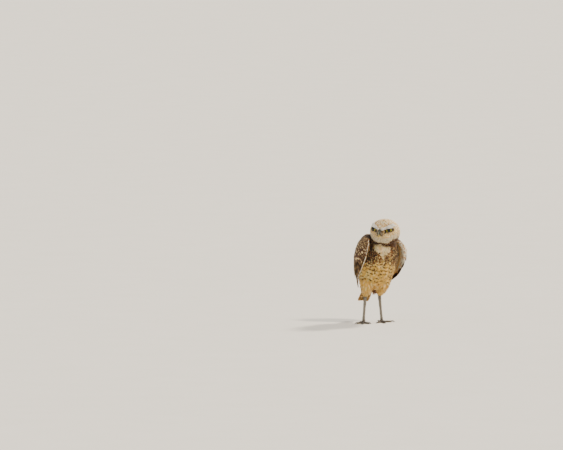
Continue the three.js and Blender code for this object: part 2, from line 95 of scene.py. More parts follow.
def moved(points, matrix):
    """Points in millimetres through a matrix."""
    m = np.array(matrix)
    return np.asarray(points, float) @ m[:3, :3].T + m[:3, 3]


def swung(ways, matrix):
    """Directions through the turn of a matrix."""
    return ways @ np.array(matrix)[:3, :3].T


def direction(azimuth, elevation):
    """The way from the bird to a place this far round from its front and this far up."""
    a, e = math.radians(azimuth), math.radians(elevation)
    return Vector((math.sin(a) * math.cos(e), -math.cos(a) * math.cos(e), math.sin(e)))


def unit(vectors):
    return vectors / np.maximum(np.linalg.norm(vectors, axis=-1, keepdims=True), 1e-9)


def dot(a, b):
    return (a * b).sum(-1, keepdims=True)


def ramp(x, low, high):
    """0 below low, 1 above high, smooth between. low may be above high."""
    t = np.clip((x - low) / (high - low), 0, 1)
    return t * t * (3 - 2 * t)


def bell(x, width):
    return np.exp(-(x / width) ** 2)


def chance(rng, *shape):
    """Normal random numbers without far outliers."""
    return rng.standard_normal(shape).clip(-2, 2)


def curve(points, shares):
    """A smooth line through the points, at shares of its run."""
    p = np.asarray(points, float)
    q = np.vstack([2 * p[0] - p[1], p, 2 * p[-1] - p[-2]])
    place = np.clip(shares, 0, 1) * (len(p) - 1)
    i = np.minimum(place.astype(int), len(p) - 2)
    w = (place - i)[..., None]
    a, b, c, d = q[i], q[i + 1], q[i + 2], q[i + 3]
    start, end = (c - a) / 2, (d - b) / 2
    return b + start * w + (3 * (c - b) - 2 * start - end) * w ** 2 + (2 * (b - c) + start + end) * w ** 3


def closest(points, line):
    """For each point, the number of the nearest place on a line."""
    parts = (points[i:i + 4000] for i in range(0, len(points), 4000))
    return np.concatenate([((part[:, None] - line[None]) ** 2).sum(-1).argmin(1) for part in parts])


def filled(places):
    """Places on an unwrap, stretched to fill it."""
    low, high = places.min(0), places.max(0)
    return 0.01 + 0.98 * (places - low) / np.maximum(high - low, 1e-6)


# Pieces and their meshes.
def link(piece):
    bpy.context.scene.collection.objects.link(piece)
    return piece


def as_piece(bm, name):
    """A piece from a bmesh, which is freed."""
    mesh = bpy.data.meshes.new(name)
    bm.to_mesh(mesh)
    bm.free()
    return link(bpy.data.objects.new(name, mesh))


def finished(piece, finish, slot, *nodes):
    """Gives a piece its material and its body, and hides the nodes that it stands for. Its slot is not used.
    """
    piece.data.materials.clear()
    piece.data.materials.append(finish)
    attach(piece, "root")
    if nodes:
        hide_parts(*nodes)


def read(items, field, count, width, kind=np.float32):
    """One field of all items of a mesh, as rows of an array."""
    flat = np.empty(count * width, kind)
    items.foreach_get(field, flat)
    return flat.reshape(-1, width)


def read_points(mesh):
    return read(mesh.vertices, "co", len(mesh.vertices), 3) / MM


def read_normals(mesh):
    return read(mesh.vertex_normals, "vector", len(mesh.vertices), 3).astype(float)


def write_points(mesh, points):
    mesh.vertices.foreach_set("co", (points * MM).astype(np.float32).ravel())
    mesh.update()


def store(mesh, name, kind, values):
    """Writes an attribute of the mesh's points: FLOAT or FLOAT_COLOR."""
    made = mesh.attributes.new(name, kind, "POINT")
    field = "color" if kind == "FLOAT_COLOR" else "value"
    made.data.foreach_set(field, np.ascontiguousarray(values, np.float32).ravel())


def from_grid(name, around, along, place):
    """A closed surface from one grid, wrapped round: place gives points for shares around and along."""
    bm = bmesh.new()
    bmesh.ops.create_grid(bm, x_segments=around, y_segments=along, size=0.5)
    flat = np.array([v.co[:] for v in bm.verts]) + 0.5
    for v, p in zip(bm.verts, place(flat[:, 0], flat[:, 1])):
        v.co = p * MM
    bmesh.ops.remove_doubles(bm, verts=bm.verts, dist=1e-6)
    bmesh.ops.recalc_face_normals(bm, faces=bm.faces)
    piece = as_piece(bm, name)
    piece.data.shade_smooth()
    return piece


def smooth_copy(name, nodes, voxel, swell, rounds):
    """One smooth closed mesh over copies of these nodes, with the gaps between them closed."""
    bm = bmesh.new()
    for n in nodes:
        bm.from_mesh(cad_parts[n].data)
    bmesh.ops.remove_doubles(bm, verts=bm.verts, dist=1e-6)
    bm.normal_update()
    for v in bm.verts:
        v.co += v.normal * swell * MM
    piece = as_piece(bm, name)
    remesh = piece.modifiers.new("one surface", "REMESH")
    remesh.mode = "VOXEL"
    remesh.voxel_size = voxel * MM
    soften = piece.modifiers.new("soften", "SMOOTH")
    soften.iterations = rounds
    made = bpy.data.meshes.new_from_object(piece.evaluated_get(bpy.context.evaluated_depsgraph_get()))
    piece.modifiers.clear()
    piece.data = made
    made.name = name
    made.shade_smooth()
    return piece


class Surface:
    """A mesh that can be asked for its nearest point and smooth normal, or for random points on it."""

    def __init__(self, mesh):
        mesh.calc_loop_triangles()
        triangles = mesh.loop_triangles
        self.corners = read(triangles, "vertices", len(triangles), 3, np.int32)
        self.points = read_points(mesh)
        self.normals = read_normals(mesh)
        self.tree = BVHTree.FromPolygons(self.points.tolist(), self.corners.tolist())

    def nearest(self, points):
        found = [self.tree.find_nearest(p) for p in points.tolist()]
        places = np.array([f[0] for f in found])
        corner = self.corners[[f[2] for f in found]]
        close = 1 / (np.linalg.norm(self.points[corner] - places[:, None], axis=2) + 0.05)
        normals = (self.normals[corner] * close[..., None]).sum(1)
        return places, unit(normals)

    def scatter(self, rng, count):
        """Points spread at random and evenly over the surface."""
        a, b, c = self.points[self.corners.T]
        area = np.linalg.norm(np.cross(b - a, c - a), axis=1)
        pick = rng.choice(len(area), count, p=area / area.sum())
        u, v = rng.random((2, count))
        flip = u + v > 1
        u, v = np.where(flip, 1 - u, u)[:, None], np.where(flip, 1 - v, v)[:, None]
        return a[pick] * (1 - u - v) + b[pick] * u + c[pick] * v


def thinned(points, spacing, cell):
    """The points, by number, that stay their own spacing away from all those kept before them."""
    kept, grid = [], {}
    keys = np.floor(points / cell).astype(int).tolist()
    for number, (point, gap, (i, j, k)) in enumerate(zip(points.tolist(), spacing.tolist(), keys)):
        reach = int(gap / cell) + 1
        steps = range(-reach, reach + 1)
        nearby = ((i + a, j + b, k + c) for a in steps for b in steps for c in steps)
        if all(math.dist(point, other) >= gap for key in nearby for other in grid.get(key, ())):
            kept.append(number)
            grid.setdefault((i, j, k), []).append(point)
    return np.array(kept)


# Material nodes.
def node(tree, kind, *values, output=0, **settings):
    """Adds one node with its settings and gives one output. Values and links go to its inputs in order, or by
    the names or numbers of a dict."""
    made = tree.nodes.new("ShaderNode" + kind)
    for name, value in settings.items():
        setattr(made, name, value)
    inputs = values[0] if values and isinstance(values[0], dict) else dict(enumerate(values))
    for name, value in inputs.items():
        if isinstance(value, bpy.types.NodeSocket):
            tree.links.new(value, made.inputs[name])
        else:
            made.inputs[name].default_value = value
    return made.outputs[output] if made.outputs else made


def scale_for(size):
    """The scale of a pattern whose cells are this many millimetres wide."""
    return 1 / (size * MM)


def mottled(tree, size, detail, dark, light):
    """A colour that wanders between two tones in blotches of one size, and the grain that it follows."""
    at = node(tree, "TexCoord", output="Object")
    grain = node(tree, "TexNoise", {"Vector": at, "Scale": scale_for(size), "Detail": detail})
    inputs = {0: grain, 6: linear(dark), 7: linear(light)}
    return node(tree, "Mix", inputs, output=2, data_type="RGBA"), grain


def touched(tree, colour, tones):
    """A colour with others laid over it, each as far as the attribute of its name says."""
    for name, tone in tones.items():
        share = node(tree, "Attribute", output="Fac", attribute_name=name)
        colour = node(tree, "Mix", {0: share, 6: colour, 7: linear(tone)}, output=2, data_type="RGBA")
    return colour


def material(name, build):
    made = bpy.data.materials.new(name)
    made.use_nodes = True
    tree = made.node_tree
    tree.nodes.clear()
    node(tree, "OutputMaterial", build(tree))
    return made


# The pose.
def middle(node_name):
    low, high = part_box(node_name)
    return (low + high) / (2 * MM)


hips = Matrix.Translation((0, POSE["hips"][1], POSE["hips"][2]))
body_pose = Matrix.Translation((POSE["hips"][0], 0, 0)) @ hips @ turned("Y", POSE["lean"]) @ hips.inverted()
head_pose = Matrix.Translation(POSE["head"])
head_pose = head_pose @ turned("Z", POSE["yaw"]) @ turned("X", POSE["pitch"]) @ turned("Y", POSE["roll"])
eye_middle = (middle("eye_left") + middle("eye_right")) / 2
SHIFT = Matrix.Translation(eye_middle - head_pose @ Vector((0, *EYE["centre"][1:])))
BODY = SHIFT @ body_pose
HEAD = SHIFT @ head_pose


def eye_pose(sign):
    x, y, z = EYE["centre"]
    place = HEAD @ Matrix.Translation((x * sign, y, z))
    return place @ turned("Z", EYE["outward"] * sign) @ turned("Y", -EYE["slant"] * sign)


# Camera, floor and light.
def set_camera():
    """A long lens from the photo's side, framed so that the feet stand where the photo has them."""
    back = direction(CAMERA["azimuth"], CAMERA["elevation"])
    right = direction(CAMERA["azimuth"] + 90, 0)
    feet = (middle("foot_left") + middle("foot_right")) / 2
    feet.z = 0
    aim = feet + right * (PHOTO[0] / 2 - FEET_PIXEL[0]) * MM_PER_PIXEL
    aim += back.cross(right) * (FEET_PIXEL[1] - PHOTO[1] / 2) * MM_PER_PIXEL
    camera = link(bpy.data.objects.new("Camera", bpy.data.cameras.new("Camera")))
    camera.data.sensor_width = CAMERA["sensor"]
    camera.data.lens = CAMERA["sensor"] * CAMERA["distance"] / (PHOTO[0] * MM_PER_PIXEL)
    camera.data.clip_end = CAMERA["sees"] * MM
    camera.location = (aim + back * CAMERA["distance"]) * MM
    camera.rotation_mode = "QUATERNION"
    camera.rotation_quaternion = (-back).to_track_quat("-Z", "Y")
    bpy.context.scene.camera = camera


def painted_plaster(tree):
    """Matt painted floor: nearly even, with a faint mottle as wide as a hand."""
    colour, _ = mottled(tree, 110, 4, 0xD9D5CC, 0xE0DCD4)
    return node(tree, "BsdfPrincipled", {"Base Color": colour, "Roughness": 0.9})


def set_stage():
    """A wide plain floor, a soft key from the upper right, a rim from behind on that side and a soft fill."""
    bm = bmesh.new()
    bmesh.ops.create_circle(bm, cap_ends=True, segments=96, radius=FLOOR_RADIUS * MM)
    floor = as_piece(bm, "floor")
    floor.data.materials.append(material("matt painted floor", painted_plaster))
    world = bpy.data.worlds.new("soft room")
    world.use_nodes = True
    light = world.node_tree.nodes["Background"].inputs
    light["Color"].default_value = linear(ROOM["colour"])
    light["Strength"].default_value = ROOM["strength"]
    bpy.context.scene.world = world
    for name, azimuth, elevation, strength, width, tint in LAMPS:
        sun = bpy.data.lights.new(name, "SUN")
        sun.energy = strength
        sun.angle = math.radians(width)
        sun.color = linear(tint)[:3]
        lamp = link(bpy.data.objects.new(name, sun))
        lamp.rotation_mode = "QUATERNION"
        lamp.rotation_quaternion = direction(azimuth, elevation).to_track_quat("Z", "Y")


# Where a point lies on the bird.
SPINE_SHARES = np.linspace(0, 1, 120)
SPINE_LINE = curve(SPINE, SPINE_SHARES)


def along_body(points):
    """For points on the bird: body coordinates, share of the spine, angle from the front, the spine's way."""
    p = moved(points, BODY.inverted())
    nearest = closest(p[:, 1:], SPINE_LINE[:, 1:])
    tangent = unit(np.gradient(SPINE_LINE, axis=0))[nearest]
    forward = np.cross(tangent, (1.0, 0, 0))
    forward *= np.where(forward[:, 1:2] > 0, -1, 1)
    ahead = ((p - SPINE_LINE[nearest]) * forward).sum(1)
    return p, SPINE_SHARES[nearest], np.degrees(np.arctan2(p[:, 0], ahead)), tangent


def on_head(points):
    """Head coordinates, the same in shares of the skull, their radius, and whether points are on the head."""
    p = moved(points, HEAD.inverted())
    x = p[:, 0] / SKULL["side"]
    y = p[:, 1] / np.where(p[:, 1] < 0, SKULL["front"], SKULL["back"])
    z = p[:, 2] / np.where(p[:, 2] > 0, SKULL["up"], SKULL["down"])
    skull = np.sqrt(x * x + y * y + z * z)
    return p, np.stack([x, y, z], 1), skull, (skull < 1.075) | ((p[:, 2] > -12) & (skull < 1.4))


def from_line(x, z, start, end):
    """Distance of flat points from a short straight line."""
    a, b = np.array(start, float), np.array(end, float)
    rel = np.stack([x - a[0], z - a[1]], 1)
    share = np.clip(rel @ (b - a) / ((b - a) @ (b - a)), 0, 1)
    return np.linalg.norm(rel - share[:, None] * (b - a), axis=1)


def by_the_eye(points):
    """Places in the frame of the nearer eye: outwards from the bill, and up."""
    left = moved(points, HEAD.inverted())[:, :1] > 0
    seen = [moved(points, eye_pose(sign).inverted()) * (sign, 1, 1) for sign in (1, -1)]
    return np.where(left, *seen)[:, (0, 2)]


def in_opening(x, z, up, down):
    """How far out a place is from the gaze, as a share of the lids' opening: 1 on its edge."""
    return np.hypot(x / LID["half"], z / np.where(z > 0, up, down))


def thigh_share(points):
    """How much each point belongs to a thigh, from 0 to 1, and the way down that thigh."""
    share = np.zeros(len(points))
    down = np.zeros((len(points), 3))
    for start, end in HIP.values():
        a, b = moved([start, end], SHIFT)
        along = (b - a) / np.linalg.norm(b - a)
        reach = np.clip((points - a) @ along, 0, np.linalg.norm(b - a))
        away = np.linalg.norm(points - a - reach[:, None] * along, axis=1)
        weight = ramp(away, 19, 15) * ramp(points[:, 2], 84, 74)
        down = np.where((weight > share)[:, None], along, down)
        share = np.maximum(share, weight)
    return share, down


def unwrapped(points):
    """Places on an unwrap of the skin: round and along the body, or round and up the skull."""
    body, spine, angle, _ = along_body(points)
    _, way, skull, is_head = on_head(points)
    height = way[:, 2] / np.maximum(skull, 0.1) / 2
    on_skull = np.stack([np.arctan2(way[:, 0], -way[:, 1]) / math.tau, height], 1)
    on_body = np.stack([angle / 360, body[:, 2] / 120 - spine], 1)
    return np.where(is_head[:, None], on_skull, on_body)


# Plumage styles: length, width, depth of the coat, base tone, marking tone, the share of feathers with the
# two tones swapped, a third tone with its share, then the strength of one dark bar, and the sizes of a pair
# of spots and of a middle spot.
STYLES = {
    "crown": (6.0, 2.2, 1.7, 0xC09555, 0xFBEFCE, 0.34, 0xDDB472, 0.22, 0, 0, 0.95),
    "brow": (5.0, 1.1, 1.2, 0xEFEAE0, 0xCFC4B0, 0.12, 0xDCD6CC, 0.2, 0, 0, 0),
    "rim": (2.2, 0.8, 0.7, 0x2A1C12, 0x3E2A18, 0.2, 0x1A110B, 0.3, 0, 0, 0),
    "disc": (4.5, 1.1, 1.0, 0xEED7A0, 0x8E6430, 0.13, 0xD49C50, 0.22, 0, 0, 0),
    "cheek": (5.5, 1.3, 1.2, 0xFBE5AE, 0xA87438, 0.1, 0xDE9A48, 0.22, 0, 0, 0),
    # Lores: partly brown feather bases, partly painted shade of the bill beside them.
    "lore": (4.0, 0.8, 0.8, 0x54401F, 0x8F7142, 0.22, 0x2A1C10, 0.4, 0, 0, 0),
    "throat": (5.5, 1.5, 1.7, 0xE0D0AC, 0xB4A07A, 0.2, 0xCDBE9E, 0.3, 0, 0, 0),
    "nape": (8.0, 3.2, 2.2, 0x7C5730, 0xE6D3A6, 0.1, 0xA67838, 0.2, 0, 0, 0.9),
    "collar": (5.0, 2.0, 2.0, 0x2C1A0C, 0x6E4620, 0.25, 0x4A2C12, 0.3, 0, 0, 0),
    "bib": (9.0, 3.0, 2.8, 0xE0C794, 0xC6A468, 0.2, 0xD6C49C, 0.3, 0, 0, 0),
    "breast": (10.0, 4.2, 3.2, 0x331B09, 0xDEBC7C, 0.07, 0x744218, 0.26, 0, 0.92, 0),
    "belly": (13.0, 6.0, 3.5, 0xD8AC54, 0x44260A, 0, 0xE4C67E, 0.35, 1, 0, 0),
    "vent": (14.0, 4.2, 3.5, 0xD0A24C, 0xDEBE7C, 0.3, 0xBE8E3E, 0.2, 0, 0, 0),
    "flank": (13.0, 6.0, 3.4, 0xC69A4C, 0x44260A, 0, 0xD8B470, 0.3, 1, 0, 0),
    "back": (12.0, 6.0, 3.1, 0x5A3A1C, 0xE2CC9C, 0, 0x7C5024, 0.3, 0, 1.1, 0),
    # Painted shadow: dark feathers low between the thighs, where shade falls.
    "dusk": (11.0, 4.0, 3.0, 0x3E2814, 0x5C3C1E, 0.3, 0x6E4722, 0.2, 0, 0, 0),
    "thigh": (9.0, 2.6, 2.5, 0xD0A450, 0xDCBC78, 0.3, 0xC08E40, 0.15, 0, 0, 0),
}
STYLE_SIZES = np.array([s[:3] for s in STYLES.values()], float)
STYLE_TONES, STYLE_MARKS, STYLE_THIRDS = (
    np.array([linear(s[column])[:3] for s in STYLES.values()]) for column in (3, 4, 6))
STYLE_CHANCES = np.array([(s[5], s[7]) for s in STYLES.values()])
STYLE_KINDS = np.array([s[8:] for s in STYLES.values()], float)
BAR_GAP = 7.7  # from one bar of the belly to the next

# Lines of the face, aside and up in the frame of the head, or outwards and up in that of the eye.
BROW_LINE = ((2.0, 3.0), (24, 12.5))
LORE_LINE = ((4.5, 3), (4.0, -5))
EYE_CORNER = ((-8, -1.5), (-9.5, -4.5))
# Heights on the body where the bib starts and is widest, and where spots give way to bars.
BIB_FOOT, BIB_TOP, SPOTS_END = 145, 160, 136.5


def head_plumage(points, head, way, skull):
    """How much of each style grows on the head at these points, and how its feathers lie."""
    x, y, z = head.T
    side, outward, none = np.abs(x), np.sign(x), np.zeros_like(x)
    forward = -way[:, 1] / np.maximum(skull, 0.1)
    front = ramp(forward, 0.08, 0.42)
    face_z = z - SKULL["face"]
    eye_x, _, eye_z = EYE["centre"]
    from_eye = np.hypot(side - eye_x, z - eye_z)
    out_eye, up_eye = by_the_eye(points).T

    stripe = 1.7 + 1.6 * ramp(side, 4, 15)
    brow = ramp(from_line(side, face_z, *BROW_LINE), stripe + 0.7, stripe - 0.7) * front
    hood = ramp(up_eye, 2.4, 3.0) * ramp(up_eye, 8, 6.5) * ramp(np.abs(out_eye + 1), 10.5, 8.5) * front
    opening = np.hypot(out_eye / 8.2, up_eye / np.where(up_eye > 0, 2.7, 3.9))
    corner = ramp(from_line(out_eye, up_eye, *EYE_CORNER), 2.6, 1.2)
    rim = np.maximum(ramp(opening, 1.44, 1.24), corner) * front
    brow = np.maximum(brow, hood) * (1 - rim)
    chin = -9.5 + 9 * ramp(side, 14, 29)
    hem = -21.5 + 11 * ramp(side, 12, 30)
    collar = ramp(z, hem + 1, hem - 1) * ramp(forward, -0.35, -0.1)
    above = ramp(face_z, 3 + side * 0.42, 6 + side * 0.42)
    disc = front * (1 - above)
    outer = ramp(from_eye, 9, 15) * ramp(side, 12, 20)
    hind = ramp(y, 9, 21) * ramp(z, 26, 18)
    styles = {
        "brow": brow * 6,
        "throat": ramp(z, chin, chin - 4) * front * (1 - collar) * 4,
        "collar": collar * 8,
        "rim": rim * 5,
        # Lores beside the bill: brown feather bases with painted shade of the bill.
        "lore": ramp(from_line(side, z, *LORE_LINE), 3.4, 1.6) * front * (1 - brow) * 3,
        "disc": disc * (1 - outer),
        "cheek": disc * outer,
        "crown": np.maximum(1 - front, above) * ramp(z, -14, -2) * (1 - 0.9 * hind),
        "nape": np.maximum((1 - front) * ramp(z, -2, -14), hind) + 1e-3,
    }

    # Out from the eyes over the disc, up and back over the crown, along the brow, and down everywhere else.
    out = unit(np.stack([outward * (side - eye_x), none, z - eye_z - 1.0], 1))
    out = out * (ramp(from_eye, 24, 6) * front)[:, None]
    bridge = np.stack([outward * 0.55, none - 0.2, ramp(z, 0, 8) * 1.6 - 0.9], 1)
    bridge = bridge * ((ramp(side, 9, 4) * front)[:, None] * 1.5)
    over = np.array([0, 1.0, 0.15]) * (above * ramp(z, -4, 10) + (1 - front) * ramp(z, -2, 14))[:, None] * 1.3
    fall = np.array([0, 0.25, -1.0]) * (ramp(z, 4, -10) + (1 - front) * 0.35)[:, None]
    swept = np.stack([outward * 0.9, none + 0.1, none + 0.42], 1)
    flow = (out + bridge + over + fall) * (1 - brow[:, None]) + swept * brow[:, None]
    return styles, swung(flow, HEAD)


def body_plumage(points, skull):
    """How much of each style grows on the body at these points, and how its feathers lie."""
    body, spine, angle, tangent = along_body(points)
    turn, height = np.abs(angle), body[:, 2]
    ahead = ramp(turn, 118, 88)
    wide = 1.12 + 0.16 * ramp(turn, 22, 50)
    near_head = ramp(skull, wide + 0.05, wide - 0.03)
    opened = ramp(height, BIB_FOOT, BIB_TOP)
    half = 1.5 + 15 * opened
    bib = ramp(np.abs(body[:, 0] + 3.5 + 3.5 * opened), half + 1.5, half - 1) * ramp(height, 138, 142) * ahead
    edge = SPOTS_END - 9 * ramp(turn, 15, 60)
    low_down = ramp(height, 92, 78) * ramp(spine, 0.55, 0.3) * ahead * 1.5
    styles = {
        "collar": near_head * 4 * ramp(turn, 150, 110),
        "bib": bib * (1 - near_head) * 4,
        "breast": ahead * ramp(height, edge - 22, edge + 12),
        "belly": ahead * ramp(height, edge + 12, edge - 22) * ramp(height, 78, 92),
        "vent": low_down + ahead * ramp(height, 84, 74),
        # Painted shadow between the thighs.
        "dusk": ramp(height, 77, 73) * ramp(np.abs(body[:, 0] + 3), 10, 7) * 3,
        "flank": ahead * ramp(turn, 62, 88) * ramp(height, 150, 120) * 1.2,
        "back": 1 - ahead + 1e-3,
        "nape": ramp(skull, 1.3, 1.12) * (1 - ahead) * 3,
    }
    leg, down = thigh_share(points)
    styles = {name: share * (1 - leg) for name, share in styles.items()}
    styles["thigh"] = leg * 3
    aside = np.sign(body[:, 0]) * ramp(turn, 10, 60) * ahead * 0.18
    flow = swung(aside[:, None] * (1, 0, 0) - tangent, BODY)
    return styles, unit(flow * (1 - leg)[:, None] + down * leg[:, None])


def plumage(points):
    """Shares of each style at points on the bird, and how the coat lies there."""
    head, way, skull, is_head = on_head(points)
    head_styles, head_flow = head_plumage(points, head, way, skull)
    body_styles, body_flow = body_plumage(points, skull)
    none = np.zeros(len(points))
    shares = (np.stack([s.get(name, none) for name in STYLES], 1) for s in (head_styles, body_styles))
    shares = np.where(is_head[:, None], *shares) ** 2
    shares /= shares.sum(1, keepdims=True)
    return shares, np.where(is_head[:, None], head_flow, body_flow)


def bar_phase(points):
    """How far down the belly points lie, along wavy lines that the bars follow."""
    body, _, angle, _ = along_body(points)
    wave = 1.6 * np.sin(angle / 8) + 1.1 * np.sin(angle / 3.7 + body[:, 2] / 8)
    return 300 - body[:, 2] + wave


# Skin.
FLESH = ("torso", "neck", "head", "thigh_left", "thigh_right")
LID_BED = 0.45  # how far the skin stays off the eyeballs


def make_skin():
    """The skin under the coat, inside the flesh nodes by the coat's depth, with the coat's own markings."""
    skin = smooth_copy("skin", FLESH + ("eye_left", "eye_right", "bill_upper", "bill_lower"), 1.1, 0.35, 5)
    mesh = skin.data
    soften_low(mesh)
    points, normals = read_points(mesh), read_normals(mesh)
    shares, _ = plumage(points)
    depth = shares @ STYLE_SIZES[:, 2] + 0.35
    depth *= 0.12 + 0.88 * ramp(points[:, 2], 63, 80)
    points -= normals * depth[:, None]
    for sign in SIDES.values():
        seen = moved(points, eye_pose(sign).inverted())
        away = np.linalg.norm(seen, axis=1, keepdims=True)
        lidded = in_opening(seen[:, 0], seen[:, 2], 2.9, 3.6) > 1
        near_eye = (away[:, 0] < EYE["radius"] + LID_BED) & (lidded | (seen[:, 1] > 0))
        seen = np.where(near_eye[:, None], seen / away * (EYE["radius"] + LID_BED), seen)
        points = np.where(near_eye[:, None], moved(seen, eye_pose(sign)), points)
    write_points(mesh, points)
    store(mesh, "Tone", "FLOAT_COLOR", opaque(shares @ STYLE_TONES * 0.7))
    drop_loose_parts(mesh)
    finished(skin, material("feathered skin", feathered_skin), "body_feathers", *FLESH)
    return Surface(mesh)


def soften_low(mesh):
    """Smooths the skin where the thighs leave the body, most at their tops."""
    bm = bmesh.new()
    bm.from_mesh(mesh)
    height = np.array([v.co.z for v in bm.verts]) / MM
    passes = 70 * ramp(height, 66, 80) * ramp(height, 118, 100)
    verts = np.array(bm.verts[:], object)
    axes = {f"use_axis_{axis}": True for axis in "xyz"}
    for k in range(0, 70, 2):
        bmesh.ops.smooth_vert(bm, verts=verts[passes > k].tolist(), factor=0.8, **axes)
    bm.to_mesh(mesh)
    bm.free()


def drop_loose_parts(mesh):
    """Keeps the largest connected part of a mesh."""
    bm = bmesh.new()
    bm.from_mesh(mesh)
    left, parts = set(bm.verts), []
    while left:
        part, edge = set(), [left.pop()]
        while edge:
            v = edge.pop()
            part.add(v)
            fresh = [n for n in (e.other_vert(v) for e in v.link_edges) if n in left]
            left.difference_update(fresh)
            edge.extend(fresh)
        parts.append(part)
    largest = max(parts, key=len)
    bmesh.ops.delete(bm, geom=[v for v in bm.verts if v not in largest], context="VERTS")
    bm.to_mesh(mesh)
    bm.free()


def feathered_skin(tree):
    """Down-covered skin: dull, soft and only seen between feathers."""
    tone = node(tree, "Attribute", attribute_name="Tone")
    return node(tree, "BsdfPrincipled", {"Base Color": tone, "Roughness": 0.95})


# Feather shapes. A shape is a flat pattern: across from -1 to 1, along from 0 to 1, and raised.
def as_shape(bm):
    """Corners and quads of a made pattern with its faces turned up, as arrays."""
    bmesh.ops.recalc_face_normals(bm, faces=bm.faces)
    if sum(f.normal.z for f in bm.faces) < 0:
        bmesh.ops.reverse_faces(bm, faces=bm.faces)
    bm.verts.index_update()
    corners = np.array([v.co[:] for v in bm.verts])
    quads = np.array([[v.index for v in f.verts] for f in bm.faces])
    bm.free()
    return corners, quads


def fingered_shape(fingers, rows, rng, ragged=0.1):
    """A soft feather of a few barbed fingers that fan out from the root and part at their tips."""
    bm = bmesh.new()
    for i in range(fingers):
        place = 0 if fingers == 1 else 2 * i / (fingers - 1) - 1
        reach = 1 - 0.2 * place ** 2 - ragged * rng.random()
        lean = place * (1 + 0.1 * rng.standard_normal())
        raised = -0.16 * abs(place) + 0.05 * ((i * 7) % 3 - 1)
        made = bmesh.ops.create_grid(bm, x_segments=1, y_segments=rows, size=1)
        for v in made["verts"]:
            along = (v.co.y + 1) / 2
            fan = 0.25 + 0.75 * math.sin(min(along * 1.7, 1) * math.pi / 2)
            taper = 1 - 0.78 * max(0, along - 0.62) / 0.38
            half = (0.85 if fingers == 1 else 1.55 / fingers) * fan * taper
            centre = lean * fan * (1 - 0.62 / fingers) * (1 - 0.25 * along ** 3)
            v.co = (centre + v.co.x * half, along * reach, raised)
    return as_shape(bm)


def vane_shape(columns, rows, rng, splits):
    """A feather with one closed vane, a round tip and a few splits at its edges."""
    bm = bmesh.new()
    bmesh.ops.create_grid(bm, x_segments=columns, y_segments=rows, size=1)
    notch = {rng.integers(rows // 2, rows): rng.choice((-1, 1)) for _ in range(splits)}
    for v in bm.verts:
        across, along = v.co.x, (v.co.y + 1) / 2
        width = min(1, 0.3 + 1.6 * along) * math.sqrt(max(0.0, 1 - max(0, (along - 0.82) / 0.2) ** 2))
        split = notch.get(round(along * rows)) == np.sign(across) and abs(across) > 0.9
        width *= 0.94 if split else 1
        v.co = (across * width, along - 0.02 * abs(across) * along, -0.10 * across * across)
    return as_shape(bm)


def stiff(shape, thickness):
    """A feather shape with a real thickness, in shares of half its width."""
    corners, quads = shape
    bm = bmesh.new()
    made = [bm.verts.new(c) for c in corners]
    for quad in quads:
        bm.faces.new([made[i] for i in quad])
    bmesh.ops.solidify(bm, geom=bm.faces[:], thickness=thickness)
    return as_shape(bm)


def dealt(shapes, count, rng):
    """Deals shapes out at random: for each, the numbers of its feathers, its corners and its quads."""
    pick = rng.integers(0, len(shapes), count)
    for number, (corners, quads) in enumerate(shapes):
        chosen = np.flatnonzero(pick == number)
        if len(chosen):
            yield chosen, corners, quads


BAKE_PATCH = 0.003  # width of a feather's patch on the unwrap


def plumes(name, layers, bake, tone, mark, kind):
    """One mesh of many feathers. A layer has its feathers' numbers, the corners and quads of their shape and
    their points. The other arrays have a row for each feather."""
    quads, flat, owner = [], [], []
    start = 0
    for chosen, corners, faces, at in layers:
        first = start + np.arange(len(chosen)) * len(corners)
        start += len(chosen) * len(corners)
        quads.append((faces[None] + first[:, None, None]).reshape(-1, 4))
        flat.append(np.tile(corners[:, :2] * (0.5, 1) + (0.5, 0), (len(chosen), 1)))
        owner.append(np.repeat(chosen, len(corners)))
    points = np.concatenate([at.reshape(-1, 3) for *_, at in layers])
    quads, flat, owner = (np.concatenate(v) for v in (quads, flat, owner))
    mesh = bpy.data.meshes.new(name)
    mesh.vertices.add(len(points))
    mesh.loops.add(quads.size)
    mesh.polygons.add(len(quads))
    mesh.vertices.foreach_set("co", (points * MM).astype(np.float32).ravel())
    mesh.loops.foreach_set("vertex_index", quads.astype(np.int32).ravel())
    mesh.polygons.foreach_set("loop_start", np.arange(0, quads.size, 4, dtype=np.int32))
    mesh.update(calc_edges=True)
    for label, values in (("Tone", opaque(tone)), ("Mark", opaque(mark)), ("Kind", kind)):
        store(mesh, label, "FLOAT_COLOR", values[owner])
    for label, places in (("OFBake", bake[owner] + (flat - 0.5) * BAKE_PATCH), ("Vane", flat)):
        uv = mesh.uv_layers.new(name=label)
        uv.data.foreach_set("uv", places[quads.ravel()].astype(np.float32).ravel())
    mesh.shade_smooth()
    return link(bpy.data.objects.new(name, mesh))


STATIONS = 6  # places along a feather where it is laid on the skin


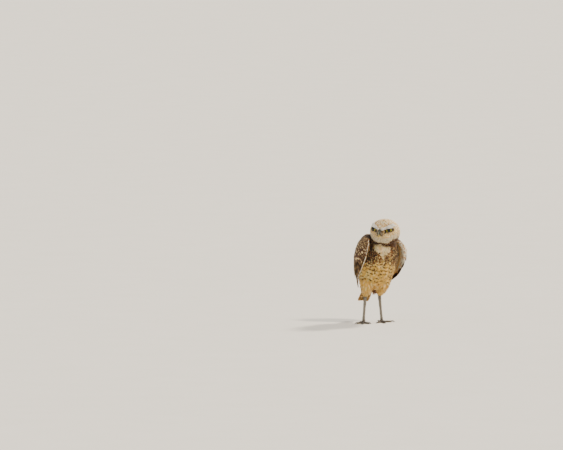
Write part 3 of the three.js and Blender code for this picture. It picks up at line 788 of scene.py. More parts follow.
def laid(surface, roots, sizes, lift, shapes, rng, lie=None):
    """Feathers laid on a surface from their roots, down the lie of the coat. Gives their layers, and where
    each one shows and ends."""
    lie = lie or (lambda at: plumage(at)[1])
    count = len(roots)
    place, normal = surface.nearest(roots)
    length = sizes[:, 0] * (1 + 0.16 * chance(rng, count))
    width = sizes[:, 1] * (1 + 0.1 * chance(rng, count))
    drift = chance(rng, count)[:, None] * 0.14
    step = length / (STATIONS - 1)
    path, way = [], None
    for k in range(STATIONS):
        flow = lie(place)
        flow = unit(flow - dot(flow, normal) * normal)
        flow = unit(flow + np.cross(normal, flow) * drift)
        way = flow if way is None else unit(way * 0.5 + flow * 0.5)
        path.append((place, normal, way))
        if k + 1 < STATIONS:
            place, normal = surface.nearest(place + way * step[:, None])
    path = [np.stack(v, 1) for v in zip(*path)]
    lifted = lift * (1 + 0.22 * chance(rng, count))
    layers = []
    for chosen, corners, quads in dealt(shapes, count, rng):
        share = np.clip(corners[:, 1], 0, 1) * (STATIONS - 1)
        low = np.minimum(share.astype(int), STATIONS - 2)
        mix = (share - low)[None, :, None]
        at, up, along = (v[chosen][:, low] * (1 - mix) + v[chosen][:, low + 1] * mix for v in path)
        across = unit(np.cross(along, up))
        half = (width[chosen] / 2)[:, None, None]
        rise = lifted[chosen][:, None] * corners[None, :, 1] ** 0.7 - 0.25
        rise = rise[..., None] + (corners[:, 2] - 0.12 * corners[:, 0] ** 2)[None, :, None] * half
        layers.append((chosen, corners, quads, at + across * corners[None, :, :1] * half + up * rise))
    return layers, path[0][:, -2], path[0][:, -1]


def coat(name, slot, surface, roots, shapes, rng, scale=1.0):
    """A coat piece. Each feather takes one plumage style, drawn by the shares where the feather shows."""
    sizes = plumage(roots)[0] @ STYLE_SIZES * scale
    layers, shown, tips = laid(surface, roots, sizes, sizes[:, 2], shapes, rng)
    count = len(roots)
    shares, _ = plumage(shown + chance(rng, count, 3) * sizes[:, 1:2] * 0.45)
    drawn = (shares.cumsum(1) > rng.random((count, 1))).argmax(1)

    # The bar lies where the last of the belly's lines crosses the feather. Some bars and spots are left out.
    start, end = bar_phase(roots), bar_phase(tips) + rng.standard_normal(count) * 1.3
    last_bar = np.floor(end / BAR_GAP) * BAR_GAP
    kinds = np.column_stack([STYLE_KINDS[drawn], (last_bar - start) / np.maximum(end - start, 3)])
    kinds[:, 0] *= np.where(rng.random(count) < 0.6 + 0.4 * ramp(shown[:, 2], 90, 125), 1, 0.1)
    kinds[:, 1:3] *= np.where(rng.random((count, 2)) < 0.8, 0.75 + 0.5 * rng.random((count, 2)), 0)

    # Painted shade: beside the right wing the breast is darkened and has fewer pale spots, as that side lies
    # in shadow.
    aside, _, height = moved(shown, BODY.inverted()).T
    shaded = ramp(aside, -12, -24) * ramp(height, 124, 138) * ramp(height, 176, 168) * ~on_head(shown)[3]
    kinds[:, 1] *= 1 - 0.6 * shaded

    swap_chance, third_chance = STYLE_CHANCES[drawn].T[..., None]
    dice = rng.random(count)[:, None]
    tone, mark = STYLE_TONES[drawn], STYLE_MARKS[drawn]
    swapped = dice < swap_chance
    tone, mark = np.where(swapped, mark, tone), np.where(swapped, tone, mark)
    tone = np.where(dice > 1 - third_chance, STYLE_THIRDS[drawn], tone)
    tone = tone + (mark - tone) * (0.12 * rng.random((count, 1)) ** 2)
    tone = tone * (0.88 + 0.22 * rng.random((count, 1))) * (1 + 0.03 * chance(rng, count, 3))
    # Painted shade beside the right wing darkens the tones.
    tone = tone * (1 - 0.5 * shaded[:, None])
    finished(plumes(name, layers, filled(unwrapped(roots)), tone, mark, kinds), BODY_PLUMES, slot)


# Wings and tail lie on curved sheets.
class Sheet:
    """A curved sheet between a front and a rear edge. s runs to the tips, and t from front to rear."""

    def __init__(self, front, rear, bulge, matrix, flip=1.0, lift=None):
        s, t = np.linspace(0, 1, 121), np.linspace(0, 1, 61)
        a, b = curve(front, s), curve(rear, s)
        slope = unit(np.gradient(a, axis=0)) + unit(np.gradient(b, axis=0))
        out = unit(np.cross(slope, b - a))
        rise = curve(np.array(bulge, float)[:, None], s)
        grid = a[:, None] * (1 - t[:, None]) + b[:, None] * t[:, None]
        grid = moved(grid + (out * rise)[:, None] * (4 * t * (1 - t))[:, None], matrix)
        normals = self.slopes(grid)[2] * np.sign(matrix.determinant()) * flip
        if lift is not None:
            grid = grid + normals * lift(s[:, None], t[None, :])[..., None]
        ds, dt, _ = self.slopes(grid)
        self.grids = (grid, normals, ds, dt)

    @staticmethod
    def slopes(grid):
        ds = np.gradient(grid, axis=0) * (len(grid) - 1)
        dt = np.gradient(grid, axis=1) * (grid.shape[1] - 1)
        return ds, dt, unit(np.cross(ds, dt))

    def at(self, s, t):
        """Place, outward normal and the two slopes. Past the edges the sheet goes on straight."""
        rows, columns = self.grids[0].shape[:2]
        inside_s, inside_t = np.clip(s, 0, 1), np.clip(t, 0, 1)
        x, y = inside_s * (rows - 1), inside_t * (columns - 1)
        i, j = np.minimum(x.astype(int), rows - 2), np.minimum(y.astype(int), columns - 2)
        u, v = (x - i)[..., None], (y - j)[..., None]
        place, normal, ds, dt = (
            g[i, j] * (1 - u) * (1 - v) + g[i + 1, j] * u * (1 - v)
            + g[i, j + 1] * (1 - u) * v + g[i + 1, j + 1] * u * v for g in self.grids)
        place = place + ds * (s - inside_s)[..., None] + dt * (t - inside_t)[..., None]
        return place, normal, ds, dt


def blades(sheet, plan, shapes, rng, risen):
    """Layers of feathers on a sheet, by a plan. risen below 1 lifts them most near the root."""
    layers = []
    for chosen, corners, quads in dealt(shapes, len(plan["from"]), rng):
        start, end = plan["from"][chosen][:, None], plan["to"][chosen][:, None]
        run = end - start
        s, t = np.moveaxis(start + run * corners[None, :, 1, None], -1, 0)
        _, normal, ds, dt = sheet.at(s, t)
        along = unit(ds * run[..., :1] + dt * run[..., 1:])
        across = unit(np.cross(along, normal))
        half = plan["width"][chosen][:, None] / 2
        offset = corners[None, :, 0] * half

        # The move across the feather, as steps of s and t on the sheet.
        move = across * offset[..., None]
        ss, st, tt, ms, mt = (
            dot(a, b)[..., 0] for a, b in ((ds, ds), (ds, dt), (dt, dt), (ds, move), (dt, move)))
        det = np.maximum(ss * tt - st * st, 1)
        move_s = np.clip((tt * ms - st * mt) / det, -0.12, 0.12)
        move_t = np.clip((ss * mt - st * ms) / det, -0.25, 0.25)
        place, up, _, _ = sheet.at(np.clip(s + move_s, -0.1, 1.02), np.clip(t + move_t, -0.15, 1.15))
        towards_front = np.sign(dot(across, -dt)[..., 0])
        low, high = plan["rise"][chosen].T[..., None]
        height = low + (high - low) * corners[None, :, 1] ** risen
        tilt = plan["tilt"][chosen][:, None] * offset * towards_front
        height = height + tilt + corners[None, :, 2] * half
        layers.append((chosen, corners, quads, place + up * height[..., None]))
    return layers


PLAN = {  # how many numbers each entry of a plan has for a feather
    "from": (2,), "to": (2,), "width": (), "rise": (2,), "tilt": (), "tone": (3,), "mark": (3,), "kind": (4,),
}


def planted(name, sheet, plan, shapes, rng, finish, slot, *nodes, risen=0.6):
    """A piece of feathers on a sheet. Its plan has for each where it starts and ends on the sheet, its width,
    rise at both ends, tilt, tones and marks. One value alone holds for all."""
    count = len(plan["from"])
    plan = {key: np.broadcast_to(plan[key], (count, *width)) for key, width in PLAN.items()}
    layers = blades(sheet, plan, shapes, rng, risen)
    piece = plumes(name, layers, filled(plan["from"]), plan["tone"], plan["mark"], plan["kind"])
    finished(piece, finish, slot, *nodes)


WING = {
    "front": [
        (29, -16, 183), (38, -31, 176), (43, -36, 162), (45.5, -24, 134), (43, -4, 108), (31, 33, 86),
        (17, 63, 69)],
    "rear": [
        (16, 3, 187), (17, 17, 181), (18, 30, 169), (18, 45, 142), (16, 54, 113), (13, 61, 87), (12, 65, 70)],
    "left": {
        "bulge": (4, 8.5, 11.5, 11.5, 9.5, 5, 0.5), "held": (0, 3, 6, 8, 7, 5, 3), "raised": 0.0,
        "pale_lining": 0.2, "outer_side": 1.0},
    "right": {
        "bulge": (4, 14.5, 21.5, 23.5, 15.5, 5, 0.5), "held": (0, -2, -6, -8, -5, -1, 0), "raised": 0.9,
        "pale_lining": 0.0, "outer_side": 0.0},
}
ARM = {"end": 0.6, "top": -1.4, "depth": 5.2}
LEADING_EDGE = {
    "left": {
        "from": 0.02, "to": 0.58, "set": -0.015, "tuck": 0.13, "radius": 3.9, "gap": 1.0, "length": 5.5,
        "pale": 0.68},
    "right": {
        "from": 0.06, "to": 0.84, "set": 0.0, "tuck": 0.02, "radius": 0.7, "gap": 0.7, "length": 5,
        "pale": 0.7},
}
# Rows of wing feathers from the wing's tip up. Each row has its count, places on the sheet of the roots at
# the front and the rear of the row, the same of the tips, width, heights of the roots and of the tips at the
# front and the rear, two tones, and its marks: how many bars, the size of the pair of spots near the tip, and
# of the pair above it.
WING_ROWS = {
    "flight": (  # primaries and secondaries
        (11, (0.38, 0.04), (0.40, 0.60), (1.0, 0.14), (0.83, 0.72), 11.5, (-2.8, -2.0), (-0.6, 1.2),
         0x4A2E15, 0xD4A868, (6, 0, 0)),
        (11, (0.38, 0.24), (0.36, 1.0), (0.80, 0.34), (0.74, 1.0), 13, (-2.4, -0.6), (2.2, 2.8),
         0x50321A, 0xD8AE6E, (4.2, 0, 0)),
    ),
    "coverts": (  # primary coverts, alula, greater, two median, six lesser and shoulder coverts
        (8, (0.33, 0.03), (0.36, 0.30), (0.56, 0.06), (0.55, 0.36), 9, (-2.0, -1.6), (-0.2, 0.2),
         0x4A2E15, 0xD4B078, (0, 0.8, 0.7)),
        (3, (0.24, -0.02), (0.25, 0.08), (0.47, 0.00), (0.42, 0.10), 8, (-1.0, -0.8), (0.7, 0.9),
         0x54351A, 0xE0C698, (0, 0.9, 0.9)),
        (14, (0.32, 0.10), (0.30, 1.02), (0.56, 0.18), (0.52, 1.04), 9.5, (-2.0, -1.2), (0.5, 1.5),
         0x4C2D12, 0xE8CA92, (0, 0.9, 0.8)),
        (15, (0.27, 0.04), (0.25, 1.04), (0.45, 0.10), (0.41, 1.05), 8.5, (-1.6, -0.8), (0.9, 1.9),
         0x4E2F14, 0xE8CA92, (0, 0.9, 0.8)),
        (16, (0.22, 0.03), (0.20, 1.04), (0.37, 0.06), (0.34, 1.05), 8, (-1.3, -0.5), (1.0, 2.0),
         0x4E2F14, 0xE8CA92, (0, 0.9, 0.7)),
        (17, (0.19, 0.02), (0.17, 1.05), (0.315, 0.04), (0.285, 1.06), 7, (-1.1, -0.4), (1.2, 2.1),
         0x4E2F14, 0xE2C080, (0, 0.9, 0.6)),
        (17, (0.155, 0.02), (0.14, 1.05), (0.27, 0.03), (0.245, 1.06), 6.6, (-1.1, -0.4), (1.2, 2.1),
         0x4A2B10, 0xE2C080, (0, 0.9, 0.6)),
        (18, (0.12, 0.02), (0.105, 1.05), (0.23, 0.03), (0.205, 1.06), 6.3, (-1.0, -0.4), (1.3, 2.2),
         0x4A2B10, 0xDCB674, (0, 0.9, 0.5)),
        (18, (0.09, 0.02), (0.075, 1.05), (0.19, 0.03), (0.165, 1.06), 6, (-1.0, -0.4), (1.4, 2.3),
         0x4A2B10, 0xDCB674, (0, 0.85, 0)),
        (19, (0.06, 0.02), (0.045, 1.05), (0.155, 0.03), (0.13, 1.06), 6, (-1.0, -0.4), (1.4, 2.3),
         0x462810, 0xDCB674, (0, 0.85, 0)),
        (19, (0.03, 0.02), (0.02, 1.05), (0.12, 0.03), (0.095, 1.06), 6, (-1.0, -0.4), (1.4, 2.3),
         0x462810, 0xDCB674, (0, 0.8, 0)),
        (18, (-0.01, 0.05), (-0.01, 1.0), (0.085, 0.04), (0.06, 1.04), 6, (-1.2, -0.5), (1.2, 2.2),
         0x462810, 0xDCB674, (0, 0.8, 0)),
    ),
    "scapulars": (  # long feathers of the shoulder, over the wing's rear edge
        (6, (0.22, 0.82), (0.20, 1.02), (0.42, 0.88), (0.40, 1.10), 11, (0.4, 0.2), (2.2, 1.8),
         0x5A381A, 0xE2CC9E, (0, 1.1, 0.9)),
        (6, (0.13, 0.82), (0.12, 1.02), (0.31, 0.88), (0.30, 1.12), 11, (0.5, 0.2), (2.5, 2.0),
         0x54351A, 0xE2CC9E, (0, 1.1, 0.9)),
        (6, (0.05, 0.82), (0.04, 1.02), (0.21, 0.88), (0.20, 1.12), 10, (0.5, 0.2), (2.6, 2.1),
         0x533114, 0xE2CC9E, (0, 1.0, 0.8)),
    ),
}
EDGE_PALE, EDGE_WARM, EDGE_BROWN = (linear(c)[:3] for c in (0xF9EFD4, 0xCE8E42, 0x6A4220))
# The lining's own tan, raised almost to white as painted light on the wing's inner side, which the lamps
# leave in shade.
LINING_TONE_WITH_PAINTED_LIGHT = linear(0xFFD48A)[:3]
PLAIN = (0, 0, 0, 0.8)  # marks of a feather without any


def wing_sheet(side, flip=1.0, lift=None):
    held = np.array(WING[side]["held"], float)[:, None] * (1, 0, 0)
    mirror = BODY @ Matrix.Diagonal((SIDES[side], 1, 1, 1))
    return Sheet(WING["front"] + held, WING["rear"] + held / 2, WING[side]["bulge"], mirror, flip, lift)


def rows_plan(groups, side, rng):
    """The plan of these groups of rows of wing feathers, from the lowest row up."""
    plan = {key: [] for key in PLAN}
    for group in groups:
        raised = 0 if group == "scapulars" else WING[side]["raised"]
        for count, root_1, root_2, tip_1, tip_2, width, low, high, tone, mark, (bars, near_tip, above) in (
                WING_ROWS[group]):
            share = ((np.arange(count) + 0.5) / count)[:, None]
            drift = chance(rng, count, 4)
            shift = drift[:, :2] * ((0.005, 0.004) if bars else (0.011, 0.011))
            roots, tips, rise = (
                np.array(a) * (1 - share) + np.array(b) * share
                for a, b in ((root_1, root_2), (tip_1, tip_2), zip(low, high)))
            plan["from"].append(roots + shift)
            plan["to"].append(tips + shift + 0.004 * chance(rng, count, 2))
            plan["width"].append(width * (1 + 0.07 * drift[:, 2]))
            plan["rise"].append(rise + np.array((0.4, 1.0)) * raised)
            plan["tilt"].append(np.full(count, 0.1))
            plan["tone"].append(linear(tone)[:3] * (0.8 + 0.4 * rng.random((count, 1))))
            plan["mark"].append(linear(mark)[:3] * (0.75 + 0.3 * rng.random((count, 1))) ** (1, 1.1, 1.2))
            a, b, c = rng.random((count, 3)).T
            if bars:
                a = np.full(count, bars)
            else:
                b, c = near_tip * (0.65 + 0.9 * b), above * 1.7 * c
            plan["kind"].append(np.column_stack([a, b, c, np.full(count, WING[side]["outer_side"])]))
    return {key: np.concatenate(value) for key, value in plan.items()}


def make_wing(side, rng):
    """Flight feathers, rows of coverts, the leading edge with its small feathers, the arm and its lining."""
    sheet = wing_sheet(side)
    quills = [stiff(vane_shape(6, 22, rng, 3), 0.07) for _ in range(4)]
    covers = [vane_shape(4, 9, rng, 2) for _ in range(5)]
    plan = rows_plan(("flight",), side, rng)
    planted(f"flight_feathers_{side}", sheet, plan, quills, rng, FLIGHT_PLUMES, "wing_feathers",
            f"wing_{side}", risen=0.8)
    plan = rows_plan(("coverts", "scapulars"), side, rng)
    planted(f"coverts_{side}", sheet, plan, covers, rng, COVERT_PLUMES, "wing_feathers")
    leading_edge(side, sheet, rng)
    wing_arm(side, sheet)
    wing_lining(side, rng)


def leading_edge(side, sheet, rng):
    """A roll along the front of the wing, covered with small pale and buff feathers all round it."""
    edge = LEADING_EDGE[side]

    def roll(u, v):
        turn = u * math.tau
        s = edge["from"] + (edge["to"] - edge["from"]) * v
        inwards = edge["set"] + edge["tuck"] * ramp(s, edge["to"] - 0.22, edge["to"])
        place, normal, ds, dt = sheet.at(s, inwards)
        ahead = -unit(dt - dot(dt, unit(ds)) * unit(ds))
        full = np.sqrt(np.clip(1 - (np.abs(v - 0.5) * 2) ** 8, 0, 1)) * (1 - 0.92 * ramp(s, 0.3, edge["to"]))
        centre = place + normal * (1.2 - edge["radius"])
        rim = ahead * np.cos(turn)[:, None] + normal * np.sin(turn)[:, None]
        return centre + rim * (edge["radius"] * full)[:, None]

    made = from_grid(f"leading_edge_{side}", 16, 60, roll)
    surface = Surface(made.data)
    bpy.data.objects.remove(made)
    line, outward, _, rearward = sheet.at(np.linspace(0, 1, 80), np.zeros(80))
    slope = unit(np.gradient(line, axis=0))
    roots = surface.scatter(rng, 9000)
    roots = roots[thinned(roots, np.full(len(roots), edge["gap"]), edge["gap"] * 1.4)]
    count = len(roots)
    sizes = np.tile((edge["length"], edge["gap"] * 2.2), (count, 1))
    shapes = [fingered_shape(3, 3, rng) for _ in range(4)]
    layers, _, _ = laid(
        surface, roots, sizes, np.full(count, 1.0), shapes, rng, lambda at: slope[closest(at, line)])
    dice = rng.random((count, 1))
    darker = np.where(dice < edge["pale"] + 0.2, EDGE_WARM, EDGE_BROWN)
    tone = np.where(dice < edge["pale"], EDGE_PALE, darker)
    tone = tone * (0.86 + 0.2 * rng.random((count, 1)))
    reach = closest(roots, line)
    off = roots - line[reach]
    around = np.arctan2(dot(off, outward[reach])[:, 0], dot(off, unit(-rearward[reach]))[:, 0])
    piece = plumes(f"leading_edge_{side}", layers, filled(np.column_stack([reach, around])), tone,
                   np.tile(EDGE_WARM, (count, 1)), np.zeros((count, 4)))
    finished(piece, BODY_PLUMES, "wing_feathers")


def arm_depth(s, t):
    """Thickness of the wing's arm under its top."""
    reach = ramp(s, ARM["end"] * 1.15, ARM["end"] * 0.45)
    full = np.sqrt(np.clip(np.sin(np.clip(t, 0, 1) * math.pi), 0, 1))
    return 1.2 + ARM["depth"] * bell(t - 0.35, 0.5) * reach * full


def wing_arm(side, sheet):
    """The arm, a smooth slab under the coverts."""
    def slab(u, v):
        turn = u * math.tau
        narrow = 1 - 0.4 * ramp(v, 0.66, 1.0)
        s, t = v * ARM["end"], 0.5 + 0.5 * np.cos(turn) * narrow
        place, normal, _, _ = sheet.at(s, t)
        close = np.sqrt(np.clip(1 - (np.abs(v - 0.5) * 2) ** 12, 0, 1))
        thick = np.where(np.sin(turn) > 0, 0.6, arm_depth(s, t))
        return place + normal * (ARM["top"] - 0.6 + close * thick * np.sin(turn))[:, None]

    finished(from_grid(f"wing_arm_{side}", 40, 40, slab), PLAIN_SKIN, "wing_feathers")


def wing_lining(side, rng):
    """Plain soft feathers on the inner side of the wing, pale ones first behind the front edge."""
    def below(s, t):
        return 0.9 - ARM["top"] + arm_depth(s, t) * ramp(s, 0.75, 0.55)

    count = 1500
    s = rng.random(count) * 0.66
    front_edge = 0.01 + 0.26 * ramp(s, 0.42, 0.66)
    t = front_edge + rng.random(count) * (1 - front_edge)
    tips = np.column_stack([s + 0.05 + 0.06 * s, t + 0.02 * rng.standard_normal(count)])
    pale = np.where(rng.random((count, 1)) < 0.75, EDGE_PALE, EDGE_WARM)
    # Behind the pale front, the lining takes its tan with painted light.
    tone = np.where((t < WING[side]["pale_lining"])[:, None], pale, LINING_TONE_WITH_PAINTED_LIGHT)
    plan = {
        "from": np.column_stack([s, t]), "to": tips, "width": 4.6, "rise": (-0.9, 1.0), "tilt": 0,
        "tone": tone * (0.85 + 0.25 * rng.random((count, 1))), "mark": linear(0x7B5E38)[:3], "kind": PLAIN,
    }
    shapes = [fingered_shape(4, 4, rng) for _ in range(4)]
    sheet = wing_sheet(side, flip=-1.0, lift=below)
    planted(f"wing_lining_{side}", sheet, plan, shapes, rng, BODY_PLUMES, "wing_feathers")


TAIL = {
    "root": (0, 26, 98), "tip": (0, 81, 41), "root_half": 8, "tip_half": 13.5, "arch": 1.6,
    "pairs": 6, "inner": 0.11, "outer": 0.81, "layer": 0.75,
}


def make_tail(rng):
    """Twelve barred tail feathers, with coverts over and under their roots."""
    shares = np.linspace(0, 1, 5)[:, None]
    middle_line = np.array(TAIL["root"]) * (1 - shares) + np.array(TAIL["tip"]) * shares
    half = (TAIL["root_half"] * (1 - shares) + TAIL["tip_half"] * shares) * (1, 0, 0)
    bulge = TAIL["arch"] * (0.4 + 0.6 * shares[:, 0])
    upper = Sheet(middle_line + half, middle_line - half, bulge, BODY)
    under = Sheet(middle_line + half, middle_line - half, bulge, BODY, -1.0, lambda s, t: 5.2 + 0 * s * t)
    pair = np.repeat(np.arange(TAIL["pairs"]), 2)
    side = np.tile((-1, 1), TAIL["pairs"])
    out = (pair / (TAIL["pairs"] - 1)) ** 0.7
    t = 0.5 + side * (TAIL["inner"] + (TAIL["outer"] - TAIL["inner"]) * out) / 2
    depth = TAIL["layer"] * (pair + ((pair > 0) | (side > 0)))
    plan = {
        "from": np.column_stack([np.full(len(pair), 0.1), t]),
        "to": np.column_stack([1 - 0.06 * out ** 2, t]),
        "width": 8.0, "rise": np.column_stack([-1 - depth * 0.5, -depth]), "tilt": 0.06 * side,
        "tone": linear(0xA07838)[:3] * (0.9 + 0.2 * rng.random((len(pair), 1))),
        "mark": linear(0xDDB878)[:3], "kind": (5.5, 0, 0, 0.5),
    }
    shapes = [stiff(vane_shape(6, 22, rng, 2), 0.08) for _ in range(3)]
    planted("tail_feathers", upper, plan, shapes, rng, FLIGHT_PLUMES, "tail_feathers", "tail", risen=0.8)
    shapes = [fingered_shape(5, 6, rng) for _ in range(4)]
    for name, sheet, count, reach, tone, mark, height, spots in (
        ("upper_tail_coverts", upper, 90, 0.34, 0x765636, 0xDCCDA8, 2.4, 0.8),
        ("under_tail_coverts", under, 150, 0.5, 0xE6C48A, 0xC08A42, 2.0, 0.0),
    ):
        s, t = rng.random(count) * reach, rng.random(count)
        length = 0.24 * (1 - 0.2 * np.abs(t * 2 - 1))
        plan = {
            "from": np.column_stack([s, t]),
            "to": np.column_stack([s + length, t + 0.02 * rng.standard_normal(count)]), "width": 7.5,
            "rise": np.column_stack([np.full(count, -1.5), height + 0.8 * rng.random(count)]), "tilt": 0,
            "tone": linear(tone)[:3] * (0.88 + 0.24 * rng.random((count, 1))), "mark": linear(mark)[:3],
            "kind": (0, spots, 0, 0.8),
        }
        planted(name, sheet, plan, shapes, rng, BODY_PLUMES, "tail_feathers")


# Eyes, lids and bill.
def make_eye(side):
    """A wet eyeball whose rings run round the gaze, so that the pupil and the iris have round edges."""
    bm = bmesh.new()
    bmesh.ops.create_uvsphere(bm, u_segments=64, v_segments=64, radius=EYE["radius"])
    bmesh.ops.rotate(bm, verts=bm.verts, matrix=Matrix.Rotation(math.pi / 2, 3, "X"))
    points = np.array([v.co[:] for v in bm.verts])
    gaze = np.degrees(np.arccos(np.clip(-points[:, 1] / EYE["radius"], -1, 1)))
    points[:, 1] -= 0.7 * bell(gaze, 34)
    piece = as_piece(bm, f"eyeball_{side}")
    write_points(piece.data, moved(points, eye_pose(SIDES[side])))
    piece.data.shade_smooth()
    store(piece.data, "Gaze", "FLOAT", gaze)
    finished(piece, EYE_FINISH, "eye", f"eye_{side}")


# The lids' section from the opening outwards: how far along it lies, and how wide, high and far out it is.
LID_RUN = (0, 0.1, 0.25, 0.45, 0.7, 1.0)
LID_WIDE = (0, 0.1, 0.4, 1.0, 2.0, 3.4)
LID_HIGH = (0, 0.1, 0.4, 1.0, 2.4, 5.4)
LID_OUT = (0.02, 0.45, 0.75, 0.7, 0.4, -0.4)


def make_lids(side, rng):
    """Thick lids round the eye's opening, flat above and round below, with the finest feathers on them."""
    pose = eye_pose(SIDES[side])

    def lid(u, v):
        over = np.sin(u * math.tau)
        wide = LID["half"] - 0.4 + np.interp(v, LID_RUN, LID_WIDE)
        high = np.where(over > 0, LID["up"], LID["down"]) + np.interp(v, LID_RUN, LID_HIGH)
        across = np.cos(u * math.tau) * wide
        rise = np.sign(over) * np.abs(over) ** np.where(over > 0, 0.62, 0.9) * high + LID["drop"] * (1 - v)
        shell = EYE["radius"] + np.interp(v, LID_RUN, LID_OUT)
        away = np.minimum(np.hypot(across, rise), shell * 0.995)
        scale = away / np.maximum(np.hypot(across, rise), 1e-6)
        return moved(np.stack([across * scale, -np.sqrt(shell ** 2 - away ** 2), rise * scale], 1), pose)

    piece = from_grid(f"eyelids_{side}", 72, 14, lid)
    finished(piece, LID_FINISH, "head_feathers")
    surface = Surface(piece.data)
    roots = surface.scatter(rng, 5000)
    x, _, z = moved(roots, pose.inverted()).T
    roots = roots[in_opening(x, z, LID["up"] + 0.7, LID["down"] + 0.8) > 1]
    roots = roots[thinned(roots, np.full(len(roots), 0.42), 0.6)]
    shapes = [fingered_shape(2, 3, rng, 0.2) for _ in range(4)]
    coat(f"lid_feathers_{side}", "head_feathers", surface, roots, shapes, rng, scale=0.6)


# Each half of the bill: the line that it follows, the half width and the depths below and above that line,
# and how sharp its ridge is.
BILL = {
    "upper": {
        "path": [
            (0, -20, 5.5), (0, -27, 5.6), (0, -31, 3.4), (0, -33.4, -1), (0, -33, -5.4), (0, -31.6, -8.6)],
        "sizes": [
            (4.2, 3.6, 4.2), (4.0, 3.4, 4.0), (3.3, 2.9, 3.4), (2.4, 2.3, 2.6), (1.2, 1.5, 1.5),
            (0.25, 0.3, 0.3)],
        "ridge": 0.35,
    },
    "lower": {
        "path": [(0, -20, -3.0), (0, -25.4, -3.6), (0, -28.2, -4.8), (0, -29.4, -6.2)],
        "sizes": [(2.6, 1.8, 2.2), (2.0, 1.5, 2), (1.1, 1.0, 1.2), (0.3, 0.3, 0.3)],
        "ridge": 0.0,
    },
}
NOSTRIL = (2.6, -29.6, 3.6)


def from_nostril(points):
    return np.linalg.norm(np.column_stack([np.abs(points[:, 0]), points[:, 1:]]) - NOSTRIL, axis=1)


def make_bill(name, half):
    """One half of the bill: oval rings along its path. The upper one has a ridge, a cere and nostrils."""
    path, sizes, ridge = BILL[half].values()

    def ring(u, v):
        turn, step = u * math.tau, 1e-3
        centre = curve(path, v)
        tangent = unit(curve(path, np.clip(v + step, 0, 1)) - curve(path, np.clip(v - step, 0, 1)))
        size = curve(sizes, v) * np.sqrt(np.clip(1 - (1 - np.clip(v / 0.05, 0, 1)) ** 2, 0, 1))[:, None]
        size *= np.where(v > 0.999, 0, 1)[:, None]
        upward = np.cross((1.0, 0, 0), tangent)
        upward *= np.where(upward[:, 1:2] > 0, -1, 1)
        over = np.sin(turn)
        x = np.cos(turn) * size[:, 0] * (1 - ridge * np.clip(over, 0, 1) ** 2)
        height = over * np.where(over > 0, size[:, 2], size[:, 1])
        at = centre + x[:, None] * (1, 0, 0) + upward * height[:, None]
        cere = bell(v - 0.2, 0.13) * np.clip(over + 0.3, 0, 1) * (ridge > 0)
        pit = bell(from_nostril(at), 0.9) * (ridge > 0)
        return moved(at + (at - centre) * (0.1 * cere - 0.42 * pit)[:, None], HEAD)

    piece = from_grid(name, 56, 80, ring)
    points = moved(read_points(piece.data), HEAD.inverted())
    store(piece.data, "Down", "FLOAT", ramp(points[:, 2], 0, -8))
    # A painted highlight along the top of the ridge, where light falls on it.
    store(piece.data, "RidgeHighlight", "FLOAT", bell(points[:, 0], 0.55) * ramp(points[:, 2], 6.0, 3))
    # Painted shade inside the nostril pits.
    store(piece.data, "PitShade", "FLOAT", bell(from_nostril(points), 0.8))
    finished(piece, BILL_FINISH, "bill", f"bill_{half}")


# Bristles and loose plumes.
LOWEST_TIP = 0.3  # bristles stay this far above the floor


def bristles(name, slot, place, way, sag, lengths, width, tones, bake, rng, fingers=1):
    """Free barbs or plumes, each of which leaves its root along a way and sags."""
    corners, quads = fingered_shape(fingers, 3 + fingers // 2, rng)
    count = len(place)
    length = (lengths[0] + (lengths[1] - lengths[0]) * rng.random(count))[:, None, None]
    bend = corners[None, :, 1, None]
    across = unit(np.cross(way, sag))
    at = place[:, None] + (way[:, None] * bend + sag[:, None] * bend ** 2) * length
    at = at + across[:, None] * corners[None, :, 0, None] * width / 2
    at[..., 2] = np.maximum(at[..., 2], LOWEST_TIP)
    tone = np.where(rng.random((count, 1)) < 0.6, *(linear(c)[:3] for c in tones))
    layers = [(np.arange(count), corners, quads, at)]
    finished(plumes(name, layers, filled(bake), tone, tone, np.tile(PLAIN, (count, 1))), BODY_PLUMES, slot)


def face_bristles(surface, rng):
    """Fine bristles from both sides of the bill's base, curving forward and down past it."""
    roots = surface.scatter(rng, 60000)
    head = moved(roots, HEAD.inverted())
    aside = np.abs(head[:, 0])
    fits = (aside > 2.6) & (aside < 6.2) & (head[:, 1] < -18) & (head[:, 2] > -4) & (head[:, 2] < 5)
    roots, head = roots[fits][:190], head[fits][:190]
    out = np.sign(head[:, :1])
    way = unit(out * (0.35, 0, 0) + (0, -0.8, 0.1) + chance(rng, *head.shape) * 0.14)
    sag = out * (-0.12, 0, 0) + (0, 0.12, -0.62)
    # Most bristles are dark: their dark shafts, and painted shade of the bill beside them.
    bristles("face_bristles", "head_feathers", roots, swung(way, HEAD), swung(sag, HEAD), (4.5, 7.5), 0.34,
             (0x4A3826, 0xB8A88C), head[:, (0, 2)], rng)


def vent_plumes(surface, rng):
    """Loose plumes that hang from behind the thighs, under the tail's root, on the bird's left side."""
    roots = surface.scatter(rng, 40000)
    x, y, z = roots.T
    fits = (x > 2) & (x < 20) & (y > 14) & (y < 52) & (z < 88) & (z > 72)
    roots = roots[fits][:260]
    way = unit(np.array((0.12, 0.35, -1.0)) + chance(rng, *roots.shape) * 0.12)
    sag = np.tile((-0.1, 0.25, -0.05), (len(roots), 1))
    bristles("vent_plumes", "tail_feathers", roots, way, sag, (9, 17), 4.2, (0x7E5024, 0xF4E2B6),
             roots[:, (0, 1)], rng, 5)


